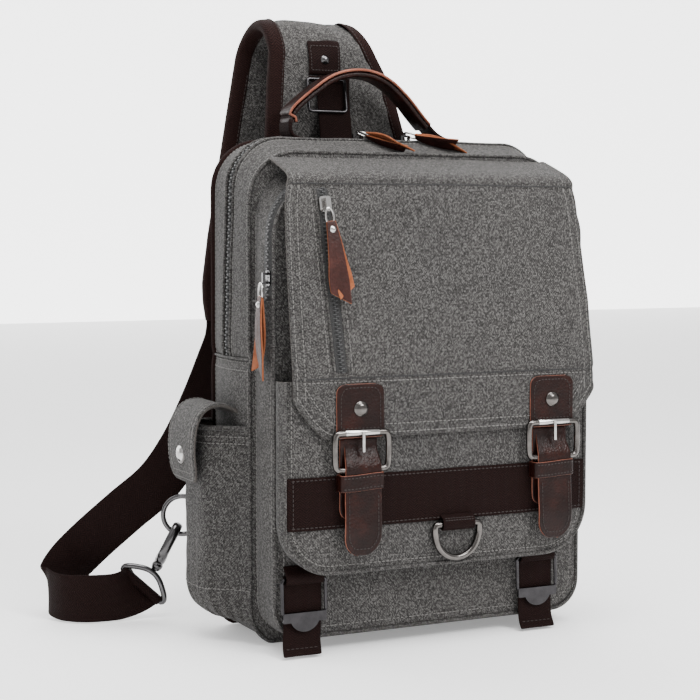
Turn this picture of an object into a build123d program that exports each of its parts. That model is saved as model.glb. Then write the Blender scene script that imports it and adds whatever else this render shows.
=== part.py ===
from build123d import *
import os

# A canvas sling bag that stands upright. X is the bag's width, the front faces -Y, and Z is up.
# The origin is the middle of the base, on the floor. All sizes are in millimetres.

# Rear (main) compartment
body_half_width = 131.0
body_height = 370.0
shoulder_height = 360.0
body_bottom_r = 26.0
body_top_r = 36.0
rear_y = 62.0
seam_y = -12.0
canvas = 2.5
panel = 4.0
zip_end_z = 210.0
zip_front_y = 18.0
zip_rear_y = 30.0

# Front compartment
front_half_width = 127.5
front_bottom = 12.0
front_top_rear = 350.0
front_top_front = 337.0
front_bottom_r = 22.0
front_top_r = 38.0
front_y = -48.0
front_zip_z = 254.0
front_zip_y = -37.0

# Front pocket
pocket_left = -127.0
pocket_right = 123.0
pocket_bottom = 60.0
pocket_top = 198.0
pocket_r = 36.0
pocket_y = -64.0
band_bottom = 92.0
band_top = 130.0
band_y = -65.5
socket_z = band_bottom + 20

# D-ring under the webbing band
ring_loop_x = 9.0
ring_loop_y = -69.2
ring_loop_z = 89.0
ring_loop_width = 26.0

# Flap
flap_hinge_y = -15.5
flap_hinge_z = 354.0
flap_inner_y = -65.4
flap_thickness = 2.6
flap_bottom = 156.0
flap_fold = (-48.0, 340.0)
flap_knee_z = 200.0
flap_outline = [(-123, 380), (-122, 184), (-95, 156), (102, 156), (129, 182), (129, 250), (116, 342),
                (116, 380)]
tab_y = flap_inner_y - flap_thickness
tab_t = 1.8

# Buckle straps
buckle_x = {"left": -70.5, "right": 90.0}
bar_z = 160.5
bar_r = 1.5
buckle_y = -71.8
strap_half_width = 14.5
strap_tip_z = 72.0
keeper_z = 119.5

# Compression straps
lock_x = {"left": -107.5, "right": 88.0}
lock_pivot = (-52.6, 55.5)
lock_wire = 1.3
tail_half_width = 14.0
tail_t = 1.6

# Side pocket and its flap
side_face_x = -160.0
snap_y = 32.0
snap_z = 139.0
pocket_lip_z = 160.0
pocket_floor_z = 16.0
pocket_flap_y = (6.0, 57.0)
pocket_flap_z = 171.0

# Top handle
handle_y = 40.0
handle_half_width = 10.0
grip_path = [(-78, 384.5), (-79, 392), (-60, 408), (-34, 424), (-4, 424), (18, 408), (33, 390), (38, 384.5)]
handle_ends = {-79.0: -75.0, 40.0: 50.0}

# Zip pulls
pull_length = 64.0
top_pull_length = 46.0
pull_width = 14.0
leaf = 2.0
left_slider_x = -27.0
right_slider_x = 14.0
side_zip_x = -front_half_width
side_zip_middle_y = (front_y + 2 + front_zip_y) / 2

# Carrying strap
webbing_width = 38.0
webbing_t = 2.0
pad_t = 9.0
pad_front_y = 66.7
pad_rear_y = 112.0
pad_arc_z = 441.0
pad_tip_z = 232.0
binding_width = 8.0
pad_top_z = 475.0
pad_centres = {"top": -43.0, "front": -22.0, "back": -98.0}
pad_front = [(-88, 350), (44, 350), (37, 372), (24, 417), (7, 441), (-3, pad_top_z), (-84, pad_top_z),
             (-81, 441),  (-83, 417), (-85, 372)]
pad_back = [(-84, pad_top_z), (-3, pad_top_z), (-14, 444), (-26, 393), (-36, 352), (-54, 300), (-72, 252),
            (-79, pad_tip_z), (-118, pad_tip_z), (-121, 262), (-115, 300), (-106, 352), (-100, 393), (-90, 444)]
patch_x = -38.0
lifter_x = -30.0
lifter_pivot = (57.4, 421.0)

# Directions of the strap ring and its hook, behind the lower left corner
ring_right = Vector(0.899, -0.438, 0)
ring_up = Vector(0, 0, 1)
hook_axis = Vector(0.414, -0.20, 0.888).normalized()
swivel = Vector(-165, 107, 35)
hook_side = hook_axis.cross(Vector(0.636, -0.309, -0.707)).normalized()
hook_flat = hook_axis.cross(hook_side).normalized()
hook_half_width = 7.2
hook_wire = 1.9
ring_R = 15.0
ring_wire = 1.6
ring_contact = swivel + hook_axis * 36.6
ring_centre = ring_contact + ring_right * 6.3 + ring_up * 13.6
tab_radial = (ring_right * 0.94 - ring_up * 0.34).normalized()
tab_point = ring_centre + tab_radial * ring_R
tab_along = (ring_right * 0.34 + ring_up * 0.94).normalized()

# Directions of the D-shaped eye that the webbing is sewn round
eye_drop = Vector(0.593, -0.289, 0.75).normalized()
eye_bar = Vector(0.674, -0.329, -0.66).normalized()
eye_away = eye_bar.cross(eye_drop).normalized()
eye_to_bar = 14.0


def box(x0, x1, y0, y1, z0, z1):
    return Pos((x0 + x1) / 2, (y0 + y1) / 2, (z0 + z1) / 2) * Box(x1 - x0, y1 - y0, z1 - z0)


def rounded_face(x0, x1, z0, z1, bottom_r, top_r):
    """An upright rounded rectangle, as a 2-D sketch of width by height."""
    sketch = Pos((x0 + x1) / 2, (z0 + z1) / 2) * Rectangle(x1 - x0, z1 - z0)
    low = sketch.vertices().group_by(Axis.Y)[0]
    sketch = fillet(low, bottom_r)
    high = [v for v in sketch.vertices() if v.Y > z1 - 0.01]
    if top_r > 0:
        sketch = fillet(high, top_r)
    return sketch


def slab(sketch, y_front, y_rear):
    return Pos(0, y_rear, 0) * extrude(Plane.XZ * sketch, amount=y_rear - y_front)


def frustum(front_sketch, y_front, rear_sketch, y_rear):
    rear = Pos(0, y_rear, 0) * (Plane.XZ * rear_sketch)
    front = Pos(0, y_front, 0) * (Plane.XZ * front_sketch)
    return loft([rear.faces()[0], front.faces()[0]], ruled=True)


def body_face(inset, top=body_height):
    return rounded_face(-body_half_width + inset, body_half_width - inset, inset, top - inset,
                        body_bottom_r - inset, body_top_r - inset)


def front_face(inset, top):
    return rounded_face(-front_half_width + inset, front_half_width - inset, front_bottom + inset, top - inset,
                        front_bottom_r - inset, front_top_r - inset)


def above(z):
    return box(-200, 200, -100, 100, z, 500)


def below(z):
    return box(-200, 200, -100, 100, -10, z)


def side_band(points, x0, x1, thickness, radius):
    """A strip of cloth whose side view is a line through points (y, z), drawn across x0 to x1."""
    line = FilletPolyline(*[(y, z) for y, z in points], radius=radius)
    outline = make_face(offset(line, amount=thickness / 2, side=Side.BOTH))
    return Pos(x0, 0, 0) * extrude(Plane.YZ * outline, amount=x1 - x0)


def wire_loop(points, wire_r, radius):
    path = FilletPolyline(*points, radius=radius, close=True)
    section = Plane(origin=path @ 0.01, z_dir=path % 0.01) * Circle(wire_r)
    return sweep(section, path=path)


def rod(start, end, r):
    start = Vector(*start)
    run = Vector(*end) - start
    return extrude(Plane(origin=start, z_dir=run) * Circle(r), amount=run.length)


def save(shape, node):
    export_step(shape, "parts/" + node + ".step")


# Main compartment

def back_panel():
    return slab(body_face(0), rear_y - panel, rear_y)


def back_foam():
    return slab(body_face(10), rear_y - panel - 5, rear_y - panel)


def base_board():
    return box(-100, 100, seam_y + 6, rear_y - 12, canvas, canvas + 2)


def divider_panel():
    return slab(body_face(0, shoulder_height), seam_y - 1, seam_y + 1)


def main_gusset():
    ring = slab(body_face(0), seam_y + 1, rear_y - panel) - slab(body_face(canvas), seam_y + 1, rear_y - panel)
    return ring & below(zip_end_z)


def rear_zip_strip():
    ring = slab(body_face(0), zip_rear_y, rear_y - panel) - slab(body_face(canvas), zip_rear_y, rear_y - panel)
    return ring & above(zip_end_z)


def front_zip_strip():
    outer = frustum(body_face(0, shoulder_height), seam_y + 1, body_face(0), zip_front_y)
    inner = frustum(body_face(canvas, shoulder_height), seam_y + 1, body_face(canvas), zip_front_y)
    return (outer - inner) & above(zip_end_z)


def main_zip_tape():
    tape = slab(body_face(0.5), zip_front_y, zip_rear_y) - slab(body_face(canvas), zip_front_y, zip_rear_y)
    middle = (zip_front_y + zip_rear_y) / 2
    teeth = slab(body_face(-0.5), middle - 3, middle + 3) - slab(body_face(0.5), middle - 3, middle + 3)
    return (tape + teeth) & above(zip_end_z)


# Front compartment

def front_gusset():
    rear_part = frustum(front_face(0, front_top_front + 3.6), front_zip_y,
                        front_face(0, front_top_rear), seam_y - 1)
    rear_hollow = frustum(front_face(2, front_top_front + 3.6), front_zip_y,
                          front_face(2, front_top_rear), seam_y - 1)
    front_part = slab(front_face(0, front_top_front + 3.6), front_y + 2, front_zip_y)
    front_part -= slab(front_face(2, front_top_front + 3.6), front_y + 2, front_zip_y)
    return (rear_part - rear_hollow) + (front_part & below(front_zip_z))


def front_zip_tape():
    outer = slab(front_face(0.4, front_top_front + 3), front_y + 2, front_zip_y)
    tape = outer - slab(front_face(2, front_top_front + 3), front_y + 2, front_zip_y)
    return tape & above(front_zip_z)


def front_panel():
    return slab(front_face(0, front_top_front), front_y, front_y + 2)


# Front pocket

def pocket_face(inset):
    return rounded_face(pocket_left + inset, pocket_right - inset, pocket_bottom + inset, pocket_top,
                        pocket_r - inset, 0)


def pocket_gusset():
    ring = slab(pocket_face(0), pocket_y + 2, front_y) - slab(pocket_face(2), pocket_y + 2, front_y)
    return ring


def socket_places():
    return [(x, socket_z) for x in buckle_x.values()]


def pocket_panel():
    return slab(pocket_face(0), pocket_y, pocket_y + 2)


def webbing_band():
    strip = box(pocket_left + 1, pocket_right - 1, band_y, pocket_y, band_bottom, band_top)
    for x, z in socket_places():
        strip -= rod((x, band_y - 1, z), (x, pocket_y + 1, z), 7.5)
    return strip


def snap_sockets():
    """Two magnetic sockets in the webbing band and the stud of the side pocket."""
    rings = []
    for x, z in socket_places():
        ring = rod((x, band_y, z), (x, pocket_y, z), 7.5) - rod((x, band_y, z), (x, pocket_y, z), 2.6)
        rings.append(ring)
    stud = rod((side_face_x, snap_y, snap_z), (side_face_x - 1.2, snap_y, snap_z), 5)
    return Compound(rings + [stud])


def ring_loop():
    wide = ring_loop_width
    tube = Cylinder(3.6, wide, rotation=(0, 90, 0)) - Cylinder(2.2, wide, rotation=(0, 90, 0))
    tab = box(-wide / 2, wide / 2, band_y - 1.6, band_y, ring_loop_z + 1.5, ring_loop_z + 13)
    keep_out = Pos(ring_loop_x, ring_loop_y, ring_loop_z) * Cylinder(2.2, wide, rotation=(0, 90, 0))
    loop = Pos(ring_loop_x, ring_loop_y, ring_loop_z) * tube + Pos(ring_loop_x, 0, 0) * tab
    return loop - keep_out


def front_ring():
    y = ring_loop_y
    z = ring_loop_z
    half = 17.0
    sides = [(-half, y, z), (half, y, z), (half, y, z - 9), (12, y, z - 21), (4, y, z - 25.5),
             (-4, y, z - 25.5), (-12, y, z - 21), (-half, y, z - 9)]
    return Pos(ring_loop_x, 0, 0) * wire_loop(sides, 1.7, 3.0)


# Flap

def flap_profile(depth):
    """Side view of the flap, moved outwards by depth from its inner face."""
    return [(flap_hinge_y, flap_hinge_z - 1.4 + depth), (flap_fold[0] - 0.3 * depth, flap_fold[1] + depth),
            (flap_fold[0] - 4 - depth, flap_fold[1] - 6), (flap_inner_y - depth, flap_knee_z),
            (flap_inner_y - depth, flap_bottom - 20)]


def flap_panel():
    inner = flap_profile(0)
    outer = flap_profile(flap_thickness)
    side = make_face(Polyline(*inner, *reversed(outer), close=True))
    solid = Pos(-140, 0, 0) * extrude(Plane.YZ * side, amount=280)
    outline = make_face(Polyline(*flap_outline, close=True))
    corners = [v for v in outline.vertices() if v.Y < 200]
    outline = fillet(corners, 10)
    return solid & slab(outline, -80, 0)


def flap_zip_tape():
    """The zip lies on the flap's sloping front, between the fold and the lower band."""
    low = Vector(-85, flap_inner_y - flap_thickness, flap_knee_z + 1)
    high = Vector(-94, flap_inner_y - flap_thickness, 334)
    run = high - low
    plane = Plane(origin=(low + high) / 2, x_dir=run.cross(Vector(0, 1, 0)), z_dir=(0, -1, 0))
    tape = extrude(plane * Rectangle(9, run.length), amount=25, both=True)
    skin = side_skin(flap_thickness, flap_thickness + 0.6, -140, 140)
    teeth = extrude(plane * Rectangle(4.6, run.length), amount=25, both=True)
    return (tape & skin) + (teeth & side_skin(flap_thickness + 0.5, flap_thickness + 1.4, -140, 140))


def side_skin(depth_in, depth_out, x0, x1):
    inner = flap_profile(depth_in)
    outer = flap_profile(depth_out)
    side = make_face(Polyline(*inner, *reversed(outer), close=True))
    return Pos(x0, 0, 0) * extrude(Plane.YZ * side, amount=x1 - x0)


def buckle_tabs():
    tabs = []
    for x in buckle_x.values():
        face = rounded_face(x - 19, x + 19, flap_bottom + 1.5, 195, 2, 7)
        tabs.append(slab(face, tab_y - tab_t, tab_y))
    return Compound(tabs)


def tab_rivets():
    rivets = []
    for x in buckle_x.values():
        head = rod((x, tab_y - tab_t, 177), (x, tab_y - tab_t - 1.2, 177), 4.6)
        rivets.append(head)
    return Compound(rivets)


# Buckle straps: frame with its bar, tongue, strap, keeper and magnet

def buckle_frame(x):
    y = buckle_y
    points = [(x - 16, y, bar_z), (x + 16, y, bar_z), (x + 21.5, y, bar_z - 11), (x + 20.5, y, bar_z - 18),
              (x + 16, y, bar_z - 26.5), (x - 16, y, bar_z - 26.5), (x - 20.5, y, bar_z - 18),
              (x - 21.5, y, bar_z - 11)]
    return wire_loop(points, bar_r, 2.5)


def buckle_tongue(x):
    start = (x, buckle_y - bar_r - 1.2, bar_z + 1)
    end = (x, buckle_y - bar_r - 1.5, bar_z - 13.5)
    return rod(start, end, 1.2)


def buckle_strap(x):
    """The front layer runs over the lower bar, and the rear layer lies behind it."""
    half = strap_half_width
    front = [(-74.6, strap_tip_z), (-74.6, 137), (-69.6, 149), (-68.3, 154.5)]
    rear = [(-68.3, 97), (-68.3, 154.5)]
    layers = side_band(front, x - half, x + half, 2.0, 4)
    line = Polyline(*rear)
    back_face = make_face(offset(line, amount=1.0, side=Side.BOTH))
    layers += Pos(x - half - 3, 0, 0) * extrude(Plane.YZ * back_face, amount=2 * half + 3)
    outline = rounded_face(x - half - 5, x + half, strap_tip_z - 1, 154.8, 13, 0)
    return layers & slab(outline, -80, -60)


def keeper(x):
    outer = box(x - 19.3, x + 17.0, -77.2, -66.0, keeper_z, keeper_z + 12)
    hollow = box(x - 18.0, x + 15.2, -75.8, -67.0, keeper_z - 1, keeper_z + 13)
    return outer - hollow


def closure_magnet(x):
    z = socket_z
    plate = rod((x, -67.0, z), (x, -66.1, z), 7)
    return plate + rod((x, -66.1, z), (x, -64.4, z), 2.0)


# Zip sliders and pulls

def slider_body(length, width):
    """Lies flat on XY, pointing along +X, with a bridge for the pull."""
    plate = extrude(RectangleRounded(length, width, 2), amount=2.2)
    bridge = Pos(0, 0, 4.2) * (Box(8, 2.4, 4) - Pos(0, 0, -0.6) * Box(4.4, 3, 2.6))
    return plate + bridge


def pull_body(length):
    """Two leather leaves on a wire link, hanging along -Y from the link's pivot at the origin."""
    link = Pos(0, -4, 0) * (Cylinder(4.4, 1.6) - Cylinder(2.8, 1.6))
    neck = Pos(0, -11, 0) * Box(7, 8, 1.6)
    half = pull_width / 2
    outline = Polyline((-4.5, -9), (4.5, -9), (half, 16 - length), (half, 9 - length), (-half, -length),
                       (-half, 16 - length), close=True)
    leaves = Pos(0, 0, -leaf) * extrude(make_face(outline), amount=2 * leaf)
    return link + neck + leaves


def on_flap(x, z, lift):
    """A plane on the flap's sloping front, its x axis to the right and its y axis up the slope."""
    slope = Vector(0, flap_fold[0] - 4 - flap_inner_y, flap_fold[1] - 6 - flap_knee_z).normalized()
    normal = Vector(1, 0, 0).cross(slope)
    y = flap_inner_y + (z - flap_knee_z) * slope.Y / slope.Z - flap_thickness
    origin = Vector(x, y, z) + normal * lift
    return Plane(origin=origin, x_dir=(1, 0, 0), z_dir=normal)


def flap_zip_slider():
    return on_flap(-93.3, 322, 1.9) * Rot(0, 0, 94) * slider_body(11, 9)


def flap_zip_pull():
    return on_flap(-93.0, 318, 9.3) * Rot(0, 0, 6) * pull_body(pull_length)


def top_plane(x, lift):
    middle_y = (zip_front_y + zip_rear_y) / 2
    return Plane(origin=(x, middle_y, body_height + lift), x_dir=(1, 0, 0), z_dir=(0, 0, 1))


def main_zip_slider(x):
    return top_plane(x, 0.9) * slider_body(12, 10)


def main_zip_pull(x, turn, dip):
    return top_plane(x, 8.4) * Rot(0, 0, 90 + turn) * Rot(dip, 0, 0) * pull_body(top_pull_length)


def side_plane(z, lift):
    return Plane(origin=(side_zip_x - lift, side_zip_middle_y, z), x_dir=(0, -1, 0), z_dir=(-1, 0, 0))


def side_zip_slider():
    return side_plane(270, 0.4) * Rot(0, 0, 90) * slider_body(11, 8)


def side_zip_pull():
    return side_plane(266, 7.8) * pull_body(pull_length)


# Side pocket

def side_pocket():
    def block(inset):
        corners = Polyline((-body_half_width, seam_y + 1 + inset), (-body_half_width, rear_y - 2 - inset),
                           (side_face_x + 8 + inset, rear_y - 2 - inset),
                           (side_face_x + inset, rear_y - 10 - inset), (side_face_x + inset, 10 + inset / 2),
                           close=True)
        base = make_face(corners)
        return Pos(0, 0, pocket_floor_z + inset) * extrude(base, amount=pocket_lip_z - pocket_floor_z + inset)
    return block(0) - block(2.5)


def side_pocket_flap():
    path = [(-body_half_width - 2.0, pocket_flap_z), (-157, pocket_flap_z + 1), (-167, 160), (-167, 118)]
    line = FilletPolyline(*path, radius=7)
    outline = make_face(offset(line, amount=1.6, side=Side.BOTH))
    strip = extrude(Plane.XZ * outline, amount=pocket_flap_y[1] - pocket_flap_y[0])
    strip = Pos(0, pocket_flap_y[1], 0) * strip
    front, rear = pocket_flap_y
    side_view = rounded_face(front, rear, 116, 200, 12, 0)
    return strip & (Pos(-200, 0, 0) * extrude(Plane.YZ * side_view, amount=100))


def side_pocket_snap():
    cap = rod((-168.6, snap_y, snap_z), (-170.8, snap_y, snap_z), 8.5)
    post = rod((-165.4, snap_y, snap_z), (-162.2, snap_y, snap_z), 5.0)
    return Compound([cap, post])


# Compression straps under the front pocket

def anchor_webbings():
    loops = []
    for x in lock_x.values():
        tube = Cylinder(3.4, 28, rotation=(0, 90, 0)) - Cylinder(1.7, 28, rotation=(0, 90, 0))
        tube = Pos(x, *lock_pivot) * tube
        tab = box(x - 14, x + 14, lock_pivot[0], front_y, lock_pivot[1] - 4.6, lock_pivot[1] - 3.2)
        stem = box(x - 14, x + 14, front_y - 1.6, front_y, lock_pivot[1] - 9, lock_pivot[1] - 3.2)
        loops.append(tube + tab + stem)
    return Compound(loops)


def tail_webbings():
    tails = []
    path = [(front_y - 1.2, 45), (front_y - 1.2, 17), (-61, 1.5)]
    for x in lock_x.values():
        tails.append(side_band(path, x - tail_half_width, x + tail_half_width, tail_t, 6))
    return Compound(tails)


def ladder_lock(x):
    y, z = lock_pivot
    corners = [(x - 17, y, z), (x + 17, y, z), (x + 17, y - 1, z - 25), (x - 17, y - 1, z - 25)]
    frame = wire_loop(corners, lock_wire, 2.5)
    plate = rounded_face(x - 17, x + 17, z - 31, z - 24, 1, 1)
    thumb = (Pos(x, z - 26) * Circle(12)) & (Pos(x, z - 33) * Rectangle(40, 14))
    return frame + slab(plate + thumb, y - 2.6, y - 0.6)


# Handle: webbing ends sewn to the bag, and a leather-covered grip between them

def handle_grip():
    line = FilletPolyline(*grip_path, radius=6)
    band = make_face(offset(line, amount=3.6, side=Side.BOTH, kind=Kind.INTERSECTION))
    return slab(band, handle_y - handle_half_width, handle_y + handle_half_width) & above(382.5)


def handle_anchors():
    """Each end flares out where it is sewn down behind the zip."""
    ends = []
    for top_x, low_x in handle_ends.items():
        low = body_height
        side = Polyline((low_x - 7, low), (low_x + 7, low), (top_x + 3, 377), (top_x - 3, 377), close=True)
        ends.append(slab(make_face(side), handle_y - handle_half_width, handle_y + handle_half_width))
    return Compound(ends)


# Shoulder strap pad with its binding, patch and lifter

def pad_band():
    top = pad_arc_z
    middle = (pad_front_y + pad_rear_y) / 2
    radius = (pad_rear_y - pad_front_y) / 2
    front_leg = Line((pad_front_y, 350), (pad_front_y, top))
    arch = ThreePointArc((pad_front_y, top), (middle, top + radius), (pad_rear_y, top))
    rear_leg = Line((pad_rear_y, top), (pad_rear_y, pad_tip_z))
    line = Wire([front_leg.edge(), arch.edge(), rear_leg.edge()])
    outline = make_face(offset(line, amount=pad_t / 2, side=Side.BOTH, kind=Kind.INTERSECTION))
    return Pos(-150, 0, 0) * extrude(Plane.YZ * outline, amount=240), middle


def strap_pieces():
    band, middle = pad_band()
    front = band & box(-150, 90, 50, middle, 340, 480)
    rear = band & box(-150, 90, middle, 130, 220, 480)
    whole = (front & slab(make_face(Polyline(*pad_front, close=True)), 40, middle))
    whole += (rear & slab(make_face(Polyline(*pad_back, close=True)), middle, 140))
    inner_front = inset_sides(pad_front)
    inner_back = inset_sides(pad_back)
    core = (front & slab(inner_front, 40, middle)) + (rear & slab(inner_back, middle, 140))
    return core, whole - core


def inset_sides(points):
    """The pad's outline, narrower by the binding on its left and right only."""
    centre = {}
    for x, z in points:
        centre.setdefault(z, []).append(x)
    moved = []
    for x, z in points:
        left = x < pad_centre(points, z)
        moved.append((x + binding_width if left else x - binding_width, z))
    return make_face(Polyline(*moved, close=True))


def pad_centre(points, z):
    low = min(points, key=lambda p: p[1])[1]
    low_centre = pad_centres["front"] if low > pad_tip_z else pad_centres["back"]
    return pad_centres["top"] + (low_centre - pad_centres["top"]) * (pad_top_z - z) / (pad_top_z - low)


def pad_patch():
    face_y = pad_front_y - pad_t / 2
    plate = box(patch_x - 13, patch_x + 13, face_y - 1.6, face_y, lifter_pivot[1] + 3, pad_arc_z + 2)
    y, z = lifter_pivot
    tube = Cylinder(3.2, 26, rotation=(0, 90, 0)) - Cylinder(1.7, 26, rotation=(0, 90, 0))
    tube = Pos(patch_x, y, z) * tube
    bridge = box(patch_x - 13, patch_x + 13, y, face_y - 1.6, z + 1.8, z + 3.2)
    stem = box(patch_x - 13, patch_x + 13, face_y - 1.6, face_y, z + 1.8, z + 3)
    return plate + tube + bridge + stem


def lifter_lock():
    y, z = lifter_pivot
    x = patch_x
    corners = [(x - 16, y, z), (x + 16, y, z), (x + 16, y - 4, z - 25), (x - 16, y - 4, z - 25)]
    frame = wire_loop(corners, lock_wire, 2.5)
    return frame


def lifter_webbing():
    path = [(59.4, 412), (52.0, body_height + 1.0)]
    line = Polyline(*path)
    outline = make_face(offset(line, amount=0.8, side=Side.BOTH))
    return Pos(lifter_x - 14, 0, 0) * extrude(Plane.YZ * outline, amount=28)


# Webbing from the pad's tip down to the floor and back to the hook

def strap_webbing():
    bar = swivel - eye_drop * eye_to_bar
    stations = [
        ((-98.5, 112, pad_tip_z - 3), (-1, 0, 0.0)),
        ((-99, 112.1, pad_tip_z - 8), (-1, 0, 0.02)),
        ((-102, 114, 210), (-0.99, 0, 0.12)),
        ((-119, 117, 166), (-0.95, 0.1, 0.3)),
        ((-136, 120, 131), (-0.85, 0.2, 0.5)),
        ((-155, 124, 104), (-0.64, 0.27, 0.72)),
        ((-181, 132, 81), (-0.56, 0.25, 0.76)),
        ((-205, 142, 58), (-0.5, 0.2, 0.82)),
        ((-222, 150, 38), (-0.42, 0.1, 0.9)),
        ((-235, 147, 24), (-0.25, 0, 0.97)),
        ((-240, 135, 20.6), (-0.12, -0.08, 1)),
        ((-234, 120, 19.6), (-0.05, -0.03, 1)),
        ((-220, 109, 19.4), (0, 0, 1)),
        ((-200, 105, 19.4), (0, 0, 1)),
        ((-186, 108, 21.0), (-0.25, 0.1, 0.95)),
    ]
    centres = [Vector(*p) for p, w in stations] + [bar - eye_away * 3.6]
    across = [Vector(*w).normalized() for p, w in stations] + [eye_bar * -1]
    faces = []
    for i, centre in enumerate(centres):
        before = centres[max(i - 1, 0)]
        after = centres[min(i + 1, len(centres) - 1)]
        run = (after - before).normalized()
        plane = Plane(origin=centre, x_dir=across[i], z_dir=run)
        faces.append(plane * Rectangle(webbing_width, webbing_t))
    ribbon = loft([f.faces()[0] for f in faces], ruled=True)
    return ribbon


def hook_eye():
    bar = swivel - eye_drop * eye_to_bar
    points = [bar - eye_bar * 20, bar + eye_bar * 20, bar + eye_bar * 19 + eye_drop * 5,
              swivel + eye_bar * 4, swivel - eye_bar * 4, bar - eye_bar * 19 + eye_drop * 5]
    return wire_loop(points, 1.8, 2.4)


def in_hook(across, along):
    return swivel + hook_side * across + hook_axis * along


def hook():
    half = hook_half_width
    path = FilletPolyline(in_hook(0, 4.2), in_hook(0, 9), in_hook(-half, 15), in_hook(-half, 34), in_hook(-3.6, 42.6),
                          in_hook(3.6, 42.6), in_hook(half, 34), in_hook(half, 29), radius=2.2)
    wire = sweep(Plane(origin=path @ 0, z_dir=path % 0) * Circle(hook_wire), path=path)
    shell = Plane(origin=in_hook(0, 7), x_dir=hook_flat, z_dir=hook_axis) * extrude(Ellipse(6.2, 4.0), amount=10)
    return wire + shell


def hook_gate():
    return rod(in_hook(hook_half_width, 17.6), in_hook(hook_half_width, 28.6), 1.8)


def strap_ring():
    return Plane(origin=ring_centre, z_dir=ring_right.cross(ring_up)) * Torus(ring_R, ring_wire)


def ring_tab():
    tube = Plane(origin=tab_point, z_dir=tab_along) * (Cylinder(4.6, 10) - Cylinder(3.1, 10))
    root = Vector(-118, rear_y + 0.2, 72)
    towards = tab_point - root
    start = Plane(origin=root, x_dir=(0, 0, 1), z_dir=towards) * Rectangle(18, 2.4)
    strip = extrude(start, amount=towards.length - 3.4)
    strip = strip & box(-200, 0, rear_y, 200, 0, 200)
    hollow = Plane(origin=tab_point, z_dir=tab_along) * Cylinder(3.1, 30)
    return (strip + tube) - hollow


def build():
    os.makedirs("parts", exist_ok=True)
    save(back_panel(), "back_panel")
    save(back_foam(), "back_foam")
    save(base_board(), "base_board")
    save(divider_panel(), "divider_panel")
    save(main_gusset(), "main_gusset")
    save(rear_zip_strip(), "rear_zip_strip")
    save(front_zip_strip(), "front_zip_strip")
    save(main_zip_tape(), "main_zip_tape")
    save(front_gusset(), "front_gusset")
    save(front_zip_tape(), "front_zip_tape")
    save(front_panel(), "front_panel")
    save(pocket_gusset(), "pocket_gusset")
    save(pocket_panel(), "pocket_panel")
    save(webbing_band(), "webbing_band")
    save(snap_sockets(), "snap_sockets")
    save(ring_loop(), "ring_loop")
    save(front_ring(), "front_ring")
    save(flap_panel(), "flap_panel")
    save(flap_zip_tape(), "flap_zip_tape")
    save(buckle_tabs(), "buckle_tabs")
    save(tab_rivets(), "tab_rivets")
    for side, x in buckle_x.items():
        save(buckle_frame(x), side + "_buckle_frame")
        save(buckle_tongue(x), side + "_buckle_tongue")
        save(buckle_strap(x), side + "_buckle_strap")
        save(keeper(x), side + "_keeper")
        save(closure_magnet(x), side + "_closure_magnet")
    save(flap_zip_slider(), "flap_zip_slider")
    save(flap_zip_pull(), "flap_zip_pull")
    save(main_zip_slider(left_slider_x), "main_zip_left_slider")
    save(main_zip_pull(left_slider_x, -60, 10), "main_zip_left_pull")
    save(main_zip_slider(right_slider_x), "main_zip_right_slider")
    save(main_zip_pull(right_slider_x, -43, 10), "main_zip_right_pull")
    save(side_zip_slider(), "side_zip_slider")
    save(side_zip_pull(), "side_zip_pull")
    save(side_pocket(), "side_pocket")
    save(side_pocket_flap(), "side_pocket_flap")
    save(side_pocket_snap(), "side_pocket_snap")
    save(anchor_webbings(), "anchor_webbings")
    save(tail_webbings(), "tail_webbings")
    for side, x in lock_x.items():
        save(ladder_lock(x), side + "_ladder_lock")
    save(handle_anchors(), "handle_anchors")
    save(handle_grip(), "handle_grip")
    core, edges = strap_pieces()
    save(core, "strap_pad")
    save(edges, "pad_binding")
    save(pad_patch(), "pad_patch")
    save(lifter_lock(), "lifter_lock")
    save(lifter_webbing(), "lifter_webbing")
    save(strap_webbing(), "strap_webbing")
    save(hook_eye(), "hook_eye")
    save(hook(), "hook")
    save(hook_gate(), "hook_gate")
    save(strap_ring(), "strap_ring")
    save(ring_tab(), "ring_tab")


build()
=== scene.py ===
import bpy
from math import acos, cos, exp, pi, radians, sin, sqrt
from mathutils import Matrix, Vector, noise
from mathutils.bvhtree import BVHTree


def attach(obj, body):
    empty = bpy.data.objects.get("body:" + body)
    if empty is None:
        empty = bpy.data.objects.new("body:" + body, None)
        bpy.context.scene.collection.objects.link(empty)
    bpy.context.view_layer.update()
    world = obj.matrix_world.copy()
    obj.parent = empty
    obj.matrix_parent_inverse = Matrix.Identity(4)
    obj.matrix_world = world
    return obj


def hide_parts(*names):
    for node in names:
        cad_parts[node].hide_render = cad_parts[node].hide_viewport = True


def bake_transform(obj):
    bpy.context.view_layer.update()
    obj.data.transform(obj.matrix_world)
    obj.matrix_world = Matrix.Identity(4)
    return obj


# Canvas sling bag. Lengths in the dictionaries are millimetres, the meshes are metres.
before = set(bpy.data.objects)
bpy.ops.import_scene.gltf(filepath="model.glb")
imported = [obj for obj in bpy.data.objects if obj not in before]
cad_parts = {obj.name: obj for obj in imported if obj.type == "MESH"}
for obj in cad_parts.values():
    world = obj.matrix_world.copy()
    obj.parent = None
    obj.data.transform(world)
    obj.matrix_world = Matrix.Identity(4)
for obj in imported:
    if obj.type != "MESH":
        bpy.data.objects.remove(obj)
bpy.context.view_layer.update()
bpy.ops.object.select_all(action="DESELECT")
mm = 0.001
print("frame loaded", len(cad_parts), "nodes")


# Node helpers

def node(tree, kind, inputs=None, **settings):
    made = tree.nodes.new(kind)
    for key, value in settings.items():
        setattr(made, key, value)
    for key, value in (inputs or {}).items():
        if isinstance(value, bpy.types.NodeSocket):
            tree.links.new(value, made.inputs[key])
        else:
            made.inputs[key].default_value = value
    return made


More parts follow.
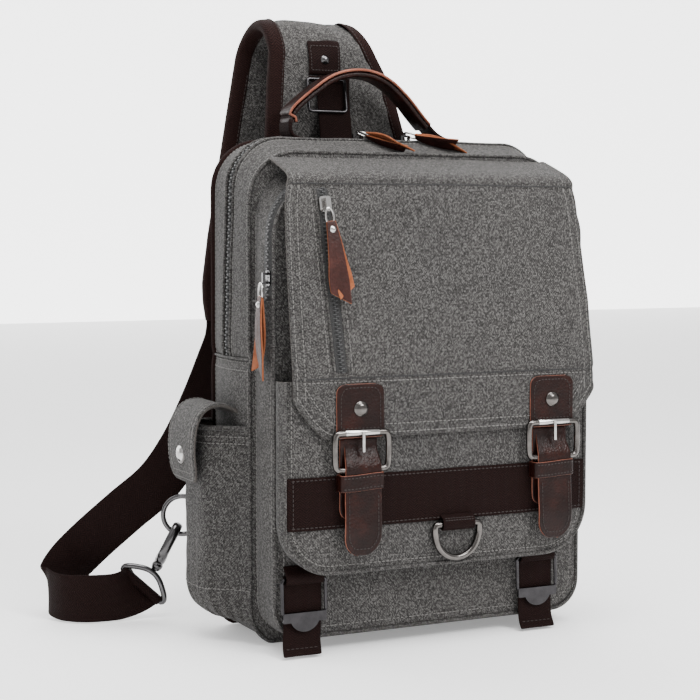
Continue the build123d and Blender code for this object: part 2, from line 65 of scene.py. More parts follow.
def newMaterial(name):
    made = bpy.data.materials.new(name)
    made.use_nodes = True
    tree = made.node_tree
    tree.nodes.clear()
    shader = node(tree, "ShaderNodeBsdfPrincipled")
    end = node(tree, "ShaderNodeOutputMaterial")
    tree.links.new(shader.outputs[0], end.inputs[0])
    return made, tree, shader


def place(tree, source, scale=(1, 1, 1), turn=0.0):
    if source == "weave":
        start = node(tree, "ShaderNodeUVMap", uv_map="weave").outputs[0]
    else:
        start = node(tree, "ShaderNodeTexCoord").outputs["Object"]
    return node(tree, "ShaderNodeMapping", {0: start, 2: (0, 0, turn), 3: scale}).outputs[0]


def grainOf(tree, where, scale, detail=2.0, rough=0.5):
    return node(tree, "ShaderNodeTexNoise", {"Vector": where, "Scale": scale, "Detail": detail,
                                             "Roughness": rough}).outputs[0]


def bands(tree, where, scale, direction="X", distortion=0.0):
    return node(tree, "ShaderNodeTexWave", {"Vector": where, "Scale": scale, "Distortion": distortion,
                                            "Detail": 0.0}, bands_direction=direction).outputs["Fac"]


def sums(tree, operation, a, b):
    return node(tree, "ShaderNodeMath", {0: a, 1: b}, operation=operation).outputs[0]


def ramp(tree, factor, stops):
    made = node(tree, "ShaderNodeValToRGB", {0: factor})
    points = made.color_ramp.elements
    while len(points) < len(stops):
        points.new(0.5)
    for point, (at, colour) in zip(points, stops):
        point.position = at
        point.color = (*colour, 1) if len(colour) == 3 else colour
    return made.outputs[0]


def blendColour(tree, factor, a, b, mode="MIX"):
    made = node(tree, "ShaderNodeMix", data_type="RGBA", blend_type=mode)
    for key, value in ((0, factor), (6, a), (7, b)):
        if isinstance(value, bpy.types.NodeSocket):
            tree.links.new(value, made.inputs[key])
        else:
            made.inputs[key].default_value = value if isinstance(value, float) else (*value, 1)
    return made.outputs[2]


def bumpOf(tree, height, distance, strength=1.0, under=None):
    made = node(tree, "ShaderNodeBump", {"Height": height, "Distance": distance, "Strength": strength})
    if under is not None:
        tree.links.new(under, made.inputs["Normal"])
    return made.outputs[0]


# Finishes

canvasLook = dict(dark=(0.0100, 0.0092, 0.0087), mid=(0.037, 0.0348, 0.0334), light=(0.112, 0.108, 0.104),
                  twill=330.0, streak=1000.0, yarn=1150.0, cloud=9.0)


def canvasMaterial(name, source, look=canvasLook, shade=1.0):
    made, tree, shader = newMaterial(name)
    warp = grainOf(tree, place(tree, source, (1, 0.7, 1)), look["streak"], 2, 0.7)
    weft = grainOf(tree, place(tree, source, (0.7, 1, 0.7)), look["streak"] * 0.8, 2, 0.7)
    heather = sums(tree, "ADD", sums(tree, "MULTIPLY", warp, 0.5), sums(tree, "MULTIPLY", weft, 0.5))
    twill = bands(tree, place(tree, source), look["twill"], "DIAGONAL", 2.2)
    threads = bands(tree, place(tree, source), look["twill"] * 1.3, "X", 0.6)
    yarns = place(tree, source, (look["yarn"], look["yarn"] * 0.8, look["yarn"]))
    floats = node(tree, "ShaderNodeVectorMath", {0: yarns}, operation="FLOOR").outputs[0]
    pepper = node(tree, "ShaderNodeTexWhiteNoise", {"Vector": floats}).outputs["Value"]
    tone = sums(tree, "ADD", sums(tree, "MULTIPLY", heather, 0.66), sums(tree, "MULTIPLY", twill, 0.08))
    tone = sums(tree, "ADD", tone, sums(tree, "MULTIPLY", pepper, 0.26))
    colour = ramp(tree, tone, [(0.33, [c * shade for c in look["dark"]]),
                               (0.50, [c * shade for c in look["mid"]]),
                               (0.69, [c * shade for c in look["light"]])])
    cloud = grainOf(tree, place(tree, "object"), look["cloud"], 4, 0.6)
    washed = ramp(tree, cloud, [(0.3, (0.90, 0.90, 0.905)), (0.7, (1.08, 1.075, 1.065))])
    tree.links.new(blendColour(tree, 1.0, colour, washed, "MULTIPLY"), shader.inputs["Base Color"])
    height = sums(tree, "ADD", sums(tree, "MULTIPLY", twill, 0.6), sums(tree, "MULTIPLY", threads, 0.3))
    height = sums(tree, "ADD", height, sums(tree, "MULTIPLY", heather, 0.25))
    crease = grainOf(tree, place(tree, "object"), 60, 3, 0.55)
    first = bumpOf(tree, crease, 0.0012, 0.5)
    tree.links.new(bumpOf(tree, height, 0.00025, 0.6, first), shader.inputs["Normal"])
    tree.links.new(ramp(tree, heather, [(0.3, (0.92,) * 3), (0.7, (0.76,) * 3)]), shader.inputs["Roughness"])
    shader.inputs["Specular IOR Level"].default_value = 0.15
    shader.inputs["Sheen Weight"].default_value = 0.04
    shader.inputs["Sheen Roughness"].default_value = 0.6
    return made


webbingLook = dict(dark=(0.0026, 0.0009, 0.0007), light=(0.0125, 0.0042, 0.0034), chevron=4.8, thread=0.95)


def webbingMaterial(name, source, look=webbingLook, shade=1.0):
    # Herringbone: the twill turns back at each chevron across the band.
    made, tree, shader = newMaterial(name)
    at = place(tree, source)
    parts = node(tree, "ShaderNodeSeparateXYZ", {0: at})
    across, along = parts.outputs[0], parts.outputs[1 if source == "weave" else 2]
    zig = node(tree, "ShaderNodeMath", {0: across, 1: look["chevron"] * mm}, operation="PINGPONG").outputs[0]
    slant = sums(tree, "ADD", along, sums(tree, "MULTIPLY", zig, 0.8))
    ribs = sums(tree, "SINE", sums(tree, "MULTIPLY", slant, 2 * pi / (look["thread"] * 2 * mm)), 0.0)
    warp = sums(tree, "SINE", sums(tree, "MULTIPLY", across, 2 * pi / (look["thread"] * mm)), 0.0)
    fuzz = grainOf(tree, at, 900, 2)
    pattern = sums(tree, "ADD", sums(tree, "MULTIPLY", ribs, 0.22), sums(tree, "MULTIPLY", fuzz, 0.9))
    colour = ramp(tree, pattern, [(0.15, [c * shade for c in look["dark"]]),
                                  (0.80, [c * shade for c in look["light"]])])
    tree.links.new(colour, shader.inputs["Base Color"])
    height = sums(tree, "ADD", sums(tree, "MULTIPLY", ribs, 0.5), sums(tree, "MULTIPLY", warp, 0.3))
    tree.links.new(bumpOf(tree, height, 0.0003, 0.7), shader.inputs["Normal"])
    tree.links.new(ramp(tree, fuzz, [(0.3, (0.82,) * 3), (0.7, (0.66,) * 3)]), shader.inputs["Roughness"])
    shader.inputs["Specular IOR Level"].default_value = 0.08
    return made


def leatherMaterial(name, dark, mid, light, grain=420.0, rough=(0.52, 0.36), depth=0.0003):
    made, tree, shader = newMaterial(name)
    at = place(tree, "object")
    pores = node(tree, "ShaderNodeTexVoronoi", {"Vector": at, "Scale": grain}, feature="DISTANCE_TO_EDGE").outputs[0]
    mottle = grainOf(tree, at, 55, 4, 0.6)
    fine = grainOf(tree, at, 700, 2)
    tone = sums(tree, "ADD", sums(tree, "MULTIPLY", mottle, 0.75), sums(tree, "MULTIPLY", fine, 0.25))
    colour = ramp(tree, tone, [(0.33, dark), (0.52, mid), (0.72, light)])
    worn = node(tree, "ShaderNodeNewGeometry").outputs["Pointiness"]
    edge = ramp(tree, worn, [(0.52, (0, 0, 0)), (0.60, (1, 1, 1))])
    tree.links.new(blendColour(tree, sums(tree, "MULTIPLY", edge, 0.35), colour, light), shader.inputs["Base Color"])
    height = sums(tree, "ADD", sums(tree, "MULTIPLY", pores, 1.6), sums(tree, "MULTIPLY", fine, 0.4))
    tree.links.new(bumpOf(tree, height, depth, 0.8), shader.inputs["Normal"])
    tree.links.new(ramp(tree, mottle, [(0.3, (rough[0],) * 3), (0.7, (rough[1],) * 3)]), shader.inputs["Roughness"])
    shader.inputs["Specular IOR Level"].default_value = 0.16
    return made


def metalMaterial(name, colour, rough, metallic=1.0):
    made, tree, shader = newMaterial(name)
    at = place(tree, "object")
    smear = grainOf(tree, at, 130, 4, 0.6)
    scratch = grainOf(tree, place(tree, "object", (1, 1, 0.12)), 1500, 2)
    dull = [c * 0.72 for c in colour]
    tree.links.new(ramp(tree, smear, [(0.35, dull), (0.65, colour)]), shader.inputs["Base Color"])
    tree.links.new(ramp(tree, smear, [(0.3, (rough * 1.6,) * 3), (0.7, (rough * 0.8,) * 3)]),
                   shader.inputs["Roughness"])
    tree.links.new(bumpOf(tree, scratch, 0.00004, 0.35), shader.inputs["Normal"])
    shader.inputs["Metallic"].default_value = metallic
    return made


def threadMaterial(name, colour):
    made, tree, shader = newMaterial(name)
    twist = grainOf(tree, place(tree, "object"), 1800, 2)
    tree.links.new(ramp(tree, twist, [(0.3, [c * 0.6 for c in colour]), (0.7, colour)]), shader.inputs["Base Color"])
    tree.links.new(bumpOf(tree, twist, 0.0002, 0.6), shader.inputs["Normal"])
    shader.inputs["Roughness"].default_value = 0.7
    return made


def plainCloth(name, dark, light, scale=900.0, rough=0.85):
    made, tree, shader = newMaterial(name)
    at = place(tree, "object")
    fibre = grainOf(tree, at, scale, 3)
    ribs = bands(tree, at, 330, "DIAGONAL", 0.5)
    tone = sums(tree, "ADD", sums(tree, "MULTIPLY", fibre, 0.8), sums(tree, "MULTIPLY", ribs, 0.2))
    tree.links.new(ramp(tree, tone, [(0.35, dark), (0.65, light)]), shader.inputs["Base Color"])
    tree.links.new(bumpOf(tree, tone, 0.0003, 0.6), shader.inputs["Normal"])
    tree.links.new(ramp(tree, fibre, [(0.3, (rough,) * 3), (0.7, (rough * 0.85,) * 3)]), shader.inputs["Roughness"])
    return made


canvas = canvasMaterial("canvasWeave", "weave")
canvasAround = canvasMaterial("canvasAround", "object")
webbing = webbingMaterial("webbingWeave", "weave")
bindingWeave = webbingMaterial("bindingWeave", "weave", dict(webbingLook, chevron=3.4, light=(0.019, 0.0064, 0.0052)))
leather = leatherMaterial("oiledLeather", (0.0042, 0.0010, 0.0006), (0.0100, 0.0021, 0.0012),
                          (0.026, 0.0060, 0.0036), rough=(0.42, 0.30))
leatherEdge = leatherMaterial("cutLeatherEdge", (0.13, 0.040, 0.025), (0.22, 0.075, 0.047), (0.33, 0.13, 0.088),
                              900, (0.8, 0.7))
pullLeather = leatherMaterial("pullLeather", (0.016, 0.0050, 0.0040), (0.031, 0.0098, 0.0077),
                              (0.062, 0.021, 0.0165), rough=(0.5, 0.36))
suede = leatherMaterial("tanSuede", (0.13, 0.036, 0.014), (0.24, 0.075, 0.031), (0.36, 0.13, 0.060), 1400, (0.92, 0.8))
darkNickel = metalMaterial("darkNickel", (0.105, 0.102, 0.104), 0.15)
brightNickel = metalMaterial("brightNickel", (0.58, 0.565, 0.55), 0.13)
blackNickel = metalMaterial("blackNickel", (0.045, 0.043, 0.045), 0.16)
agedNickel = metalMaterial("agedNickel", (0.135, 0.125, 0.118), 0.15)
# Near-black zip tape cloth, also used for the painted seam shade cords on the flap.
zipClothAndSeamShade = plainCloth("zipClothAndSeamShade", (0.008, 0.008, 0.008), (0.022, 0.021, 0.021), 1200)
zipCoil = plainCloth("zipCoil", (0.012, 0.012, 0.012), (0.05, 0.05, 0.05), 600, 0.45)
lining = plainCloth("lining", (0.030, 0.026, 0.023), (0.060, 0.052, 0.046))
foamCloth = plainCloth("foamCore", (0.42, 0.41, 0.39), (0.60, 0.59, 0.57), 300)
boardSheet = plainCloth("stiffener", (0.020, 0.020, 0.020), (0.045, 0.045, 0.045), 250, 0.6)
lightThread = threadMaterial("lightThread", (0.155, 0.148, 0.140))
darkThread = threadMaterial("darkThread", (0.016, 0.0075, 0.006))
print("finishes made", len(bpy.data.materials))


# Making cloth, tubes, stitches and teeth

def wobble(p, size, seed=0.0):
    return noise.noise(Vector((p[0] / size + seed, p[1] / size - seed, p[2] / size + 2 * seed)))


def hump(value, centre, width):
    return exp(-((value - centre) / width) ** 2)


def ease(t):
    t = min(max(t, 0.0), 1.0)
    return t * t * (3 - 2 * t)


def lookUp(table, at):
    # Straight line through (at, value) pairs.
    if at <= table[0][0]:
        return table[0][1]
    for (a, va), (b, vb) in zip(table, table[1:]):
        if at <= b:
            return va + (vb - va) * (at - a) / (b - a)
    return table[-1][1]


def applyAll(piece):
    bpy.context.view_layer.objects.active = piece
    for modifier in list(piece.modifiers):
        bpy.ops.object.modifier_apply(modifier=modifier.name)


def rawMesh(name, verts, faces, materials, uvs=None, indices=None):
    mesh = bpy.data.meshes.new(name)
    mesh.from_pydata([Vector(v) * mm for v in verts], [], faces)
    if uvs:
        layer = mesh.uv_layers.new(name="weave")
        for loop in mesh.loops:
            layer.data[loop.index].uv = uvs[loop.index]
    for material in materials:
        mesh.materials.append(material)
    if indices:
        mesh.polygons.foreach_set("material_index", indices)
    mesh.polygons.foreach_set("use_smooth", [True] * len(mesh.polygons))
    piece = bpy.data.objects.new(name, mesh)
    bpy.context.scene.collection.objects.link(piece)
    return piece


def skin(name, rows, materials, facing, wall=0.0, smooth=1, loop=False, flat=None, outside=1.0, rim=False):
    # A cloth or leather surface through rows of points. facing is the outward side, or a function that gives it.
    high, wide = len(rows), len(rows[0])
    columns = wide if loop else wide - 1
    middle = rows[high // 2]
    us, vs = [0.0], [0.0]
    for j in range(columns):
        us.append(us[-1] + (Vector(middle[(j + 1) % wide]) - Vector(middle[j])).length)
    for i in range(high - 1):
        vs.append(vs[-1] + (Vector(rows[i + 1][wide // 2]) - Vector(rows[i][wide // 2])).length)
    verts = [Vector(p) for row in rows for p in row]
    faces, uvs = [], []
    for i in range(high - 1):
        for j in range(columns):
            right = (j + 1) % wide
            quad = [i * wide + j, i * wide + right, (i + 1) * wide + right, (i + 1) * wide + j]
            spots = [(us[j], vs[i]), (us[j + 1], vs[i]), (us[j + 1], vs[i + 1]), (us[j], vs[i + 1])]
            if flat:
                spots = [flat(verts[q]) for q in quad]
            faces.append(quad)
            uvs.append(spots)
    total = 0.0
    for quad in faces[:: max(1, len(faces) // 60)]:
        a, b, c, d = (verts[q] for q in quad)
        centre = (a + b + c + d) / 4
        side = facing(centre) if callable(facing) else Vector(facing)
        total += (c - a).cross(d - b).dot(side)
    if total < 0:
        faces = [q[::-1] for q in faces]
        uvs = [s[::-1] for s in uvs]
    piece = rawMesh(name, verts, faces, materials, [(u * mm, v * mm) for s in uvs for u, v in s])
    if wall:
        thick = piece.modifiers.new("wall", "SOLIDIFY")
        thick.thickness = wall * mm
        thick.offset = outside
        thick.use_even_offset = False
        if len(materials) > 1:
            thick.material_offset = 0 if rim else 1
            thick.material_offset_rim = 1
    if smooth:
        softer = piece.modifiers.new("round", "SUBSURF")
        softer.levels = smooth
        softer.render_levels = smooth
    applyAll(piece)
    piece.data.polygons.foreach_set("use_smooth", [True] * len(piece.data.polygons))
    return piece


def frames(points, closed=False):
    # Tangents along a line of points.
    count = len(points)
    out = []
    for i, p in enumerate(points):
        before = points[(i - 1) % count] if closed or i else p
        after = points[(i + 1) % count] if closed or i < count - 1 else p
        out.append((Vector(after) - Vector(before)).normalized())
    return out


def tube(name, points, radius, materials, closed=False, sides=8, flatten=1.0, up=None):
    # A round cord, wire or piping along a line of points.
    points = [Vector(p) for p in points]
    tangents = frames(points, closed)
    reference = Vector(up) if up else Vector((0, 0, 1))
    if abs(tangents[0].dot(reference)) > 0.9:
        reference = Vector((0, 1, 0))
    verts = []
    count = len(points)
    for i, (p, t) in enumerate(zip(points, tangents)):
        reference = (reference - t * reference.dot(t)).normalized()
        side = t.cross(reference)
        size = radius(i / (count - 1)) if callable(radius) else radius
        for k in range(sides):
            a = 2 * pi * k / sides
            verts.append(p + (side * cos(a) + reference * sin(a) * flatten) * size)
    faces, uvs = [], []
    run = 0.0
    spans = count if closed else count - 1
    for i in range(spans):
        n = (i + 1) % count
        step = (points[n] - points[i]).length
        for k in range(sides):
            m = (k + 1) % sides
            faces.append([i * sides + k, i * sides + m, n * sides + m, n * sides + k])
            wide = 2 * pi / sides * (radius if not callable(radius) else 2.0)
            uvs += [(k * wide * mm, run * mm), ((k + 1) * wide * mm, run * mm),
                    ((k + 1) * wide * mm, (run + step) * mm), (k * wide * mm, (run + step) * mm)]
        run += step
    if not closed:
        faces.append(list(range(sides))[::-1])
        faces.append([(count - 1) * sides + k for k in range(sides)])
        uvs += [(0, 0)] * (2 * sides)
    return rawMesh(name, verts, faces, materials, uvs)


def resample(points, step, closed=False):
    points = [Vector(p) for p in points]
    if closed:
        points = points + [points[0]]
    lengths = [0.0]
    for a, b in zip(points, points[1:]):
        lengths.append(lengths[-1] + (b - a).length)
    count = max(2, int(round(lengths[-1] / step)) + 1)
    out, k = [], 0
    for i in range(count - (1 if closed else 0)):
        at = lengths[-1] * i / (count - 1)
        while k < len(lengths) - 2 and lengths[k + 1] < at:
            k += 1
        span = max(lengths[k + 1] - lengths[k], 1e-9)
        out.append(points[k].lerp(points[k + 1], min(1.0, (at - lengths[k]) / span)))
    return out


def treeOf(*pieces):
    # One tree to drop points onto the given pieces.
    verts, faces = [], []
    for piece in pieces:
        start = len(verts)
        verts += [piece.matrix_world @ v.co / mm for v in piece.data.vertices]
        faces += [[start + i for i in f.vertices] for f in piece.data.polygons]
    return BVHTree.FromPolygons(verts, faces)


def drop(tree, point, way, reach=40.0, lift=0.0):
    # The surface point met from outside along way, and the normal there.
    way = Vector(way).normalized()
    hit, normal, _, _ = tree.ray_cast(Vector(point) - way * reach, way, 2 * reach)
    if hit is None:
        return None
    if normal.dot(way) > 0:
        normal = -normal
    return hit + normal * lift, normal


bodyPieces = {}


def own(piece, body, slot, *nodes):
    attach(piece, body)
    if nodes:
        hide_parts(*nodes)
    bodyPieces.setdefault(body, []).append(piece)
    return piece


def stampShapes(name, shapes, verts, faces, materials):
    # Many small copies of one shape in one mesh. shapes are (origin, along, across, up) with sizes in their lengths.
    allVerts, allFaces = [], []
    for origin, x, y, z in shapes:
        start = len(allVerts)
        allVerts += [origin + x * v[0] + y * v[1] + z * v[2] for v in verts]
        allFaces += [[start + i for i in f] for f in faces]
    return rawMesh(name, allVerts, allFaces, materials)


def ringShape(stations, sides):
    # Rings of points along X, closed by a point at each end.
    verts = [(stations[0][0], 0, 0)]
    for x, r in stations[1:-1]:
        verts += [(x, r * cos(2 * pi * k / sides), r * sin(2 * pi * k / sides)) for k in range(sides)]
    verts.append((stations[-1][0], 0, 0))
    faces = []
    rings = len(stations) - 2
    for k in range(sides):
        m = (k + 1) % sides
        faces.append([0, 1 + m, 1 + k])
        for r in range(rings - 1):
            a = 1 + r * sides
            faces.append([a + k, a + m, a + sides + m, a + sides + k])
        a = 1 + (rings - 1) * sides
        faces.append([a + k, a + m, len(verts) - 1])
    return verts, faces


stitchVerts, stitchFaces = ringShape([(-0.5, 0), (-0.36, 0.42), (0.0, 0.5), (0.36, 0.42), (0.5, 0)], 6)
toothVerts, toothFaces = ringShape([(-0.5, 0), (-0.46, 0.36), (0.1, 0.5), (0.40, 0.46), (0.5, 0)], 6)


def stitches(name, lines, tree, way, body, material=None, pitch=3.4, long=2.6, thick=0.8, slot="canvas", sink=0.05):
    # Sewn rows: each line is dropped onto the cloth along way.
    shapes = []
    for line in lines:
        spots = resample(line, pitch)
        for i in range(len(spots) - 1):
            p = (spots[i] + spots[i + 1]) / 2
            side = way(p) if callable(way) else Vector(way)
            found = drop(tree, p, side)
            if found is None:
                continue
            at, normal = found
            along = spots[i + 1] - spots[i]
            along = (along - normal * along.dot(normal)).normalized()
            middle = at + normal * (thick * 0.5 - sink - thick * 0.25)
            shapes.append((middle, along * long, normal.cross(along) * thick, normal * thick))
    piece = stampShapes(name, shapes, stitchVerts, stitchFaces, [material or lightThread])
    return own(piece, body, slot)


def zipTeeth(name, spots, normals, body, slot, nodes=(), tooth=(3.6, 1.5, 1.5), gap=1.5, material=None):
    # Two rows of teeth that mesh along a line.
    shapes = []
    tangents = frames(spots)
    for i, (p, n, t) in enumerate(zip(spots, normals, tangents)):
        across = t.cross(n).normalized()
        side = 1 if i % 2 else -1
        shapes.append((p + across * side * gap * 0.7, across * -side * tooth[0], t * tooth[1], n * tooth[2]))
    piece = stampShapes(name, shapes, toothVerts, toothFaces, [material or zipCoil])
    return own(piece, body, slot, *nodes)


# The outlines that the cloth follows

def outline(x0, x1, z0, z1, lowR, highR):
    # Upright rounded rectangle from the middle of its base, up the left side and round.
    points = [((x0 + x1) / 2, z0)]
    for cx, cz, r, a0 in ((x0 + lowR, z0 + lowR, lowR, 270), (x0 + highR, z1 - highR, highR, 180),
                          (x1 - highR, z1 - highR, highR, 90), (x1 - lowR, z0 + lowR, lowR, 0)):
        for k in range(13):
            a = radians(a0 - 90 * k / 12)
            points.append((cx + r * cos(a), cz + r * sin(a)))
    points.append(((x0 + x1) / 2, z0))
    lengths = [0.0]
    for a, b in zip(points, points[1:]):
        lengths.append(lengths[-1] + sqrt((b[0] - a[0]) ** 2 + (b[1] - a[1]) ** 2))
    return points, lengths


def onOutline(path, s):
    points, lengths = path
    s = min(max(s, 0.0), lengths[-1] - 1e-6)
    low, high = 0, len(lengths) - 1
    while high - low > 1:
        half = (low + high) // 2
        if lengths[half] <= s:
            low = half
        else:
            high = half
    (ax, az), (bx, bz) = points[low], points[low + 1]
    t = (s - lengths[low]) / max(lengths[low + 1] - lengths[low], 1e-9)
    return ax + (bx - ax) * t, az + (bz - az) * t


def outlineSpot(path, s):
    # A point and its outward direction, in X and Z, smoothed over a short stretch.
    x, z = onOutline(path, s)
    ax, az = onOutline(path, s - 3)
    bx, bz = onOutline(path, s + 3)
    dx, dz = bx - ax, bz - az
    size = sqrt(dx * dx + dz * dz) or 1.0
    return x, z, -dz / size, dx / size


# Main compartment

body = dict(half=131.0, shoulder=360.0, lowR=26.0, highR=36.0, seamZ=210.0,
            belly=4.5, crease=0.9)


def bodyPath(y):
    rise = min(1.0, max(0.0, (y + 12) / 30))
    return outline(-body["half"], body["half"], 0.0, body["shoulder"] + 10 * rise, body["lowR"], body["highR"])


def bodySpot(s, y, lift=0.0):
    # A point on the soft side of the main compartment.
    path = bodyPath(y)
    x, z, nx, nz = outlineSpot(path, s)
    side = abs(nx)
    across = sin(pi * (y + 12) / 72)
    puff = body["belly"] * across * sin(pi * min(1.0, z / 360)) * side
    puff += 2.2 * across * max(0.0, nz)
    creases = wobble((x, y, z), 46, 1.3) + 0.5 * wobble((x, y, z), 19, 4.1)
    puff += body["crease"] * creases * across * (1 if nz > -0.5 else 0.1)
    puff -= 1.4 * hump(z, body["seamZ"], 5.0) * side
    return Vector((x + nx * (puff + lift), y, max(0.4, z + nz * (puff + lift))))


def bodyRows(ys, s0, s1, count, lift=0.0):
    return [[bodySpot(s0 + (s1 - s0) * k / (count - 1), y, lift) for k in range(count)] for y in ys]


def spread(a, b, n):
    return [a + (b - a) * i / (n - 1) for i in range(n)]


def awayFrom(x, y, z):
    centre = Vector((x, y, z))
    return lambda p: p - centre


bodyLength = bodyPath(30)[1][-1]
seamS = (body["half"] - body["lowR"]) + body["lowR"] * pi / 2 + (body["seamZ"] - body["lowR"])
inBody = awayFrom(0, 24, 185)
lowerLeft = bodyRows(spread(-11, 58, 16), 0, seamS, 70)
lowerRight = bodyRows(spread(-11, 58, 16), bodyLength - seamS, bodyLength, 70)
lowerBand = [right + left[1:] for left, right in zip(lowerLeft, lowerRight)]
gusset = skin("mainGusset", lowerBand, [canvas, lining], inBody, wall=2.2, outside=-1)
own(gusset, "bag", "canvas", "main_gusset")
rearStrip = skin("rearZipStrip", bodyRows(spread(30, 58, 8), seamS, bodyLength - seamS, 120), [canvas, lining], inBody,
                 wall=2.2, outside=-1)
own(rearStrip, "bag", "canvas", "rear_zip_strip")
frontStrip = skin("frontZipStrip", bodyRows(spread(-11, 18, 8), seamS, bodyLength - seamS, 120), [canvas, lining],
                  inBody, wall=2.2, outside=-1)
own(frontStrip, "bag", "canvas", "front_zip_strip")
zipCurb = bodyRows(spread(17.2, 30.8, 5), seamS - 1, bodyLength - seamS + 1, 160, -0.9)
own(skin("mainZipTape", zipCurb, [zipClothAndSeamShade], inBody, wall=1.0, outside=-1, smooth=0), "bag", "zip", "main_zip_tape")
for y0, y1 in ((15.6, 18.6), (29.4, 32.4)):
    line = [bodySpot(s, (y0 + y1) / 2, 0.35) for s in spread(seamS, bodyLength - seamS, 200)]
    lip = tube("zipLip" + ("Front" if y0 < 20 else "Rear"), line, 1.25, [canvasAround], sides=8)
    own(lip, "bag", "canvas")


def bodyTeeth():
    spots = [bodySpot(s, 24, 0.1) for s in spread(seamS + 2, bodyLength - seamS - 2, 232)]
    normals = []
    for s in spread(seamS + 2, bodyLength - seamS - 2, 232):
        _, _, nx, nz = outlineSpot(bodyPath(24), s)
        normals.append(Vector((nx, 0, nz)))
    zipTeeth("mainZipTeeth", spots, normals, "bag", "zip", tooth=(4.0, 1.7, 1.7))


bodyTeeth()
print("main compartment shell")


def disc(path, y, rings, count, crown, facing, extra=None):
    # Rows from an outline in to its middle, crowned outwards.
    total = path[1][-1]
    xs = [p[0] for p in path[0]]
    zs = [p[1] for p in path[0]]
    cx, cz = (min(xs) + max(xs)) / 2, (min(zs) + max(zs)) / 2
    rows = []
    for r in range(rings + 1):
        t = 1 - (r / rings) * 0.9995
        row = []
        for k in range(count):
            x, z = onOutline(path, total * k / count)
            px, pz = cx + (x - cx) * t, cz + (z - cz) * t
            depth = crown * (1 - t ** 3)
            if extra:
                depth += extra(px, pz, 1 - t)
            row.append(Vector((px, y + facing * depth, pz)))
        rows.append(row)
    return rows


def onFront(p):
    return p[0], p[2]


def quilting(x, z, inward):
    # Two sewn channels down the padded back.
    away = min(abs(x - 44), abs(x + 44))
    return -2.2 * exp(-(away / 4.0) ** 2) * ease(inward * 6) + 0.7 * wobble((x, 0, z), 40, 2.2) * ease(inward * 4)


backPath = outline(-131, 131, 0.4, 370, 26, 36)
backRows = disc(backPath, 58.5, 30, 150, 3.6, 1, quilting)
back = skin("backPanel", backRows, [canvas], (0, 1, 0), loop=True, flat=onFront, smooth=0, wall=2.0, outside=-1)
own(back, "bag", "canvas", "back_panel")
dividerPath = outline(-130.6, 130.6, 0.6, 360.2, 25.6, 35.6)
divider = skin("divider", disc(dividerPath, -12, 8, 80, 0.6, -1), [canvas, lining], (0, -1, 0), loop=True,
               flat=onFront, wall=1.6, outside=0, smooth=0)
own(divider, "bag", "lining", "divider_panel")


def edgePiping(name, y, radius, material, lift=0.6, step=3.0):
    path = bodyPath(y)
    total = path[1][-1]
    count = int(total / step)
    line = []
    for k in range(count):
        p = bodySpot(total * k / count, y, lift)
        line.append(Vector((p.x, p.y, max(p.z, radius + 0.3))))
    own(tube(name, line, radius, [material], closed=True, sides=8), "bag", "webbing")


edgePiping("rearBinding", 58.6, 2.6, bindingWeave, 0.2)
edgePiping("middlePiping", -12.0, 1.5, canvasAround, 0.7)
bodyTree = treeOf(gusset, rearStrip, frontStrip)


def bodyWay(p):
    x = max(-95.0, min(95.0, p.x))
    z = max(36.0, min(330.0, p.z))
    return Vector((x - p.x, 0, z - p.z)).normalized()


def bodyLine(y, s0, s1, count=220, lift=1.0):
    return [bodySpot(s, y, lift) for s in spread(s0, s1, count)]


mainRows = [bodyLine(14.0, seamS, bodyLength - seamS), bodyLine(34.0, seamS, bodyLength - seamS),
            bodyLine(-8.0, 60, bodyLength - 60), bodyLine(54.0, 60, bodyLength - 60)]
for below in (2.5, 8.5):
    for sign in (-1, 1):
        s = seamS - below
        mainRows.append([bodySpot(s if sign < 0 else bodyLength - s, y, 1) for y in spread(-9, 56, 20)])
stitches("mainStitching", mainRows, bodyTree, bodyWay, "bag")
hem = [bodySpot(seamS, y, 0.55) for y in spread(-10, 57, 24)]
own(tube("leftSeamFold", hem, 1.3, [canvasAround], sides=8, flatten=0.8), "bag", "canvas")
hem = [bodySpot(bodyLength - seamS, y, 0.55) for y in spread(-10, 57, 24)]
own(tube("rightSeamFold", hem, 1.3, [canvasAround], sides=8, flatten=0.8), "bag", "canvas")


# Front compartment

front = dict(half=127.5, low=12.0, topRear=350.0, lowR=22.0, highR=38.0, zipZ=254.0, belly=2.6)


def frontPath(y):
    t = min(1.0, max(0.0, (-13 - y) / 24))
    top = front["topRear"] + (340.6 - front["topRear"]) * t if y > -37 else 340.6 - (-37 - y) * 0.33
    return outline(-front["half"], front["half"], front["low"], top, front["lowR"], front["highR"])


def frontSpot(s, y, lift=0.0):
    x, z, nx, nz = outlineSpot(frontPath(y), s)
    across = sin(pi * (y + 12) / -35) if y > -47 else 0
    puff = front["belly"] * across * abs(nx) * sin(pi * min(1, max(0, z / 340)))
    puff += 1.6 * across * (wobble((x, y, z), 38, 7.7) + 0.5 * wobble((x, y, z), 16, 2.9))
    if nz < -0.5:
        puff += 2.0 * across
    return Vector((x + nx * (puff + lift), y, z + nz * (puff + lift)))


inFront = awayFrom(0, -30, 175)
frontRows = [[frontSpot(frontPath(y)[1][-1] * k / 200, y) for k in range(200)] for y in spread(-13, -47, 10)]
frontBand = skin("frontGusset", frontRows, [canvas, lining], inFront, loop=True, wall=1.8, outside=-1)
own(frontBand, "bag", "canvas", "front_gusset")


def frontCrown(x, z, inward):
    return 0.5 * wobble((x, 3, z), 34, 5.5) * ease(inward * 4)


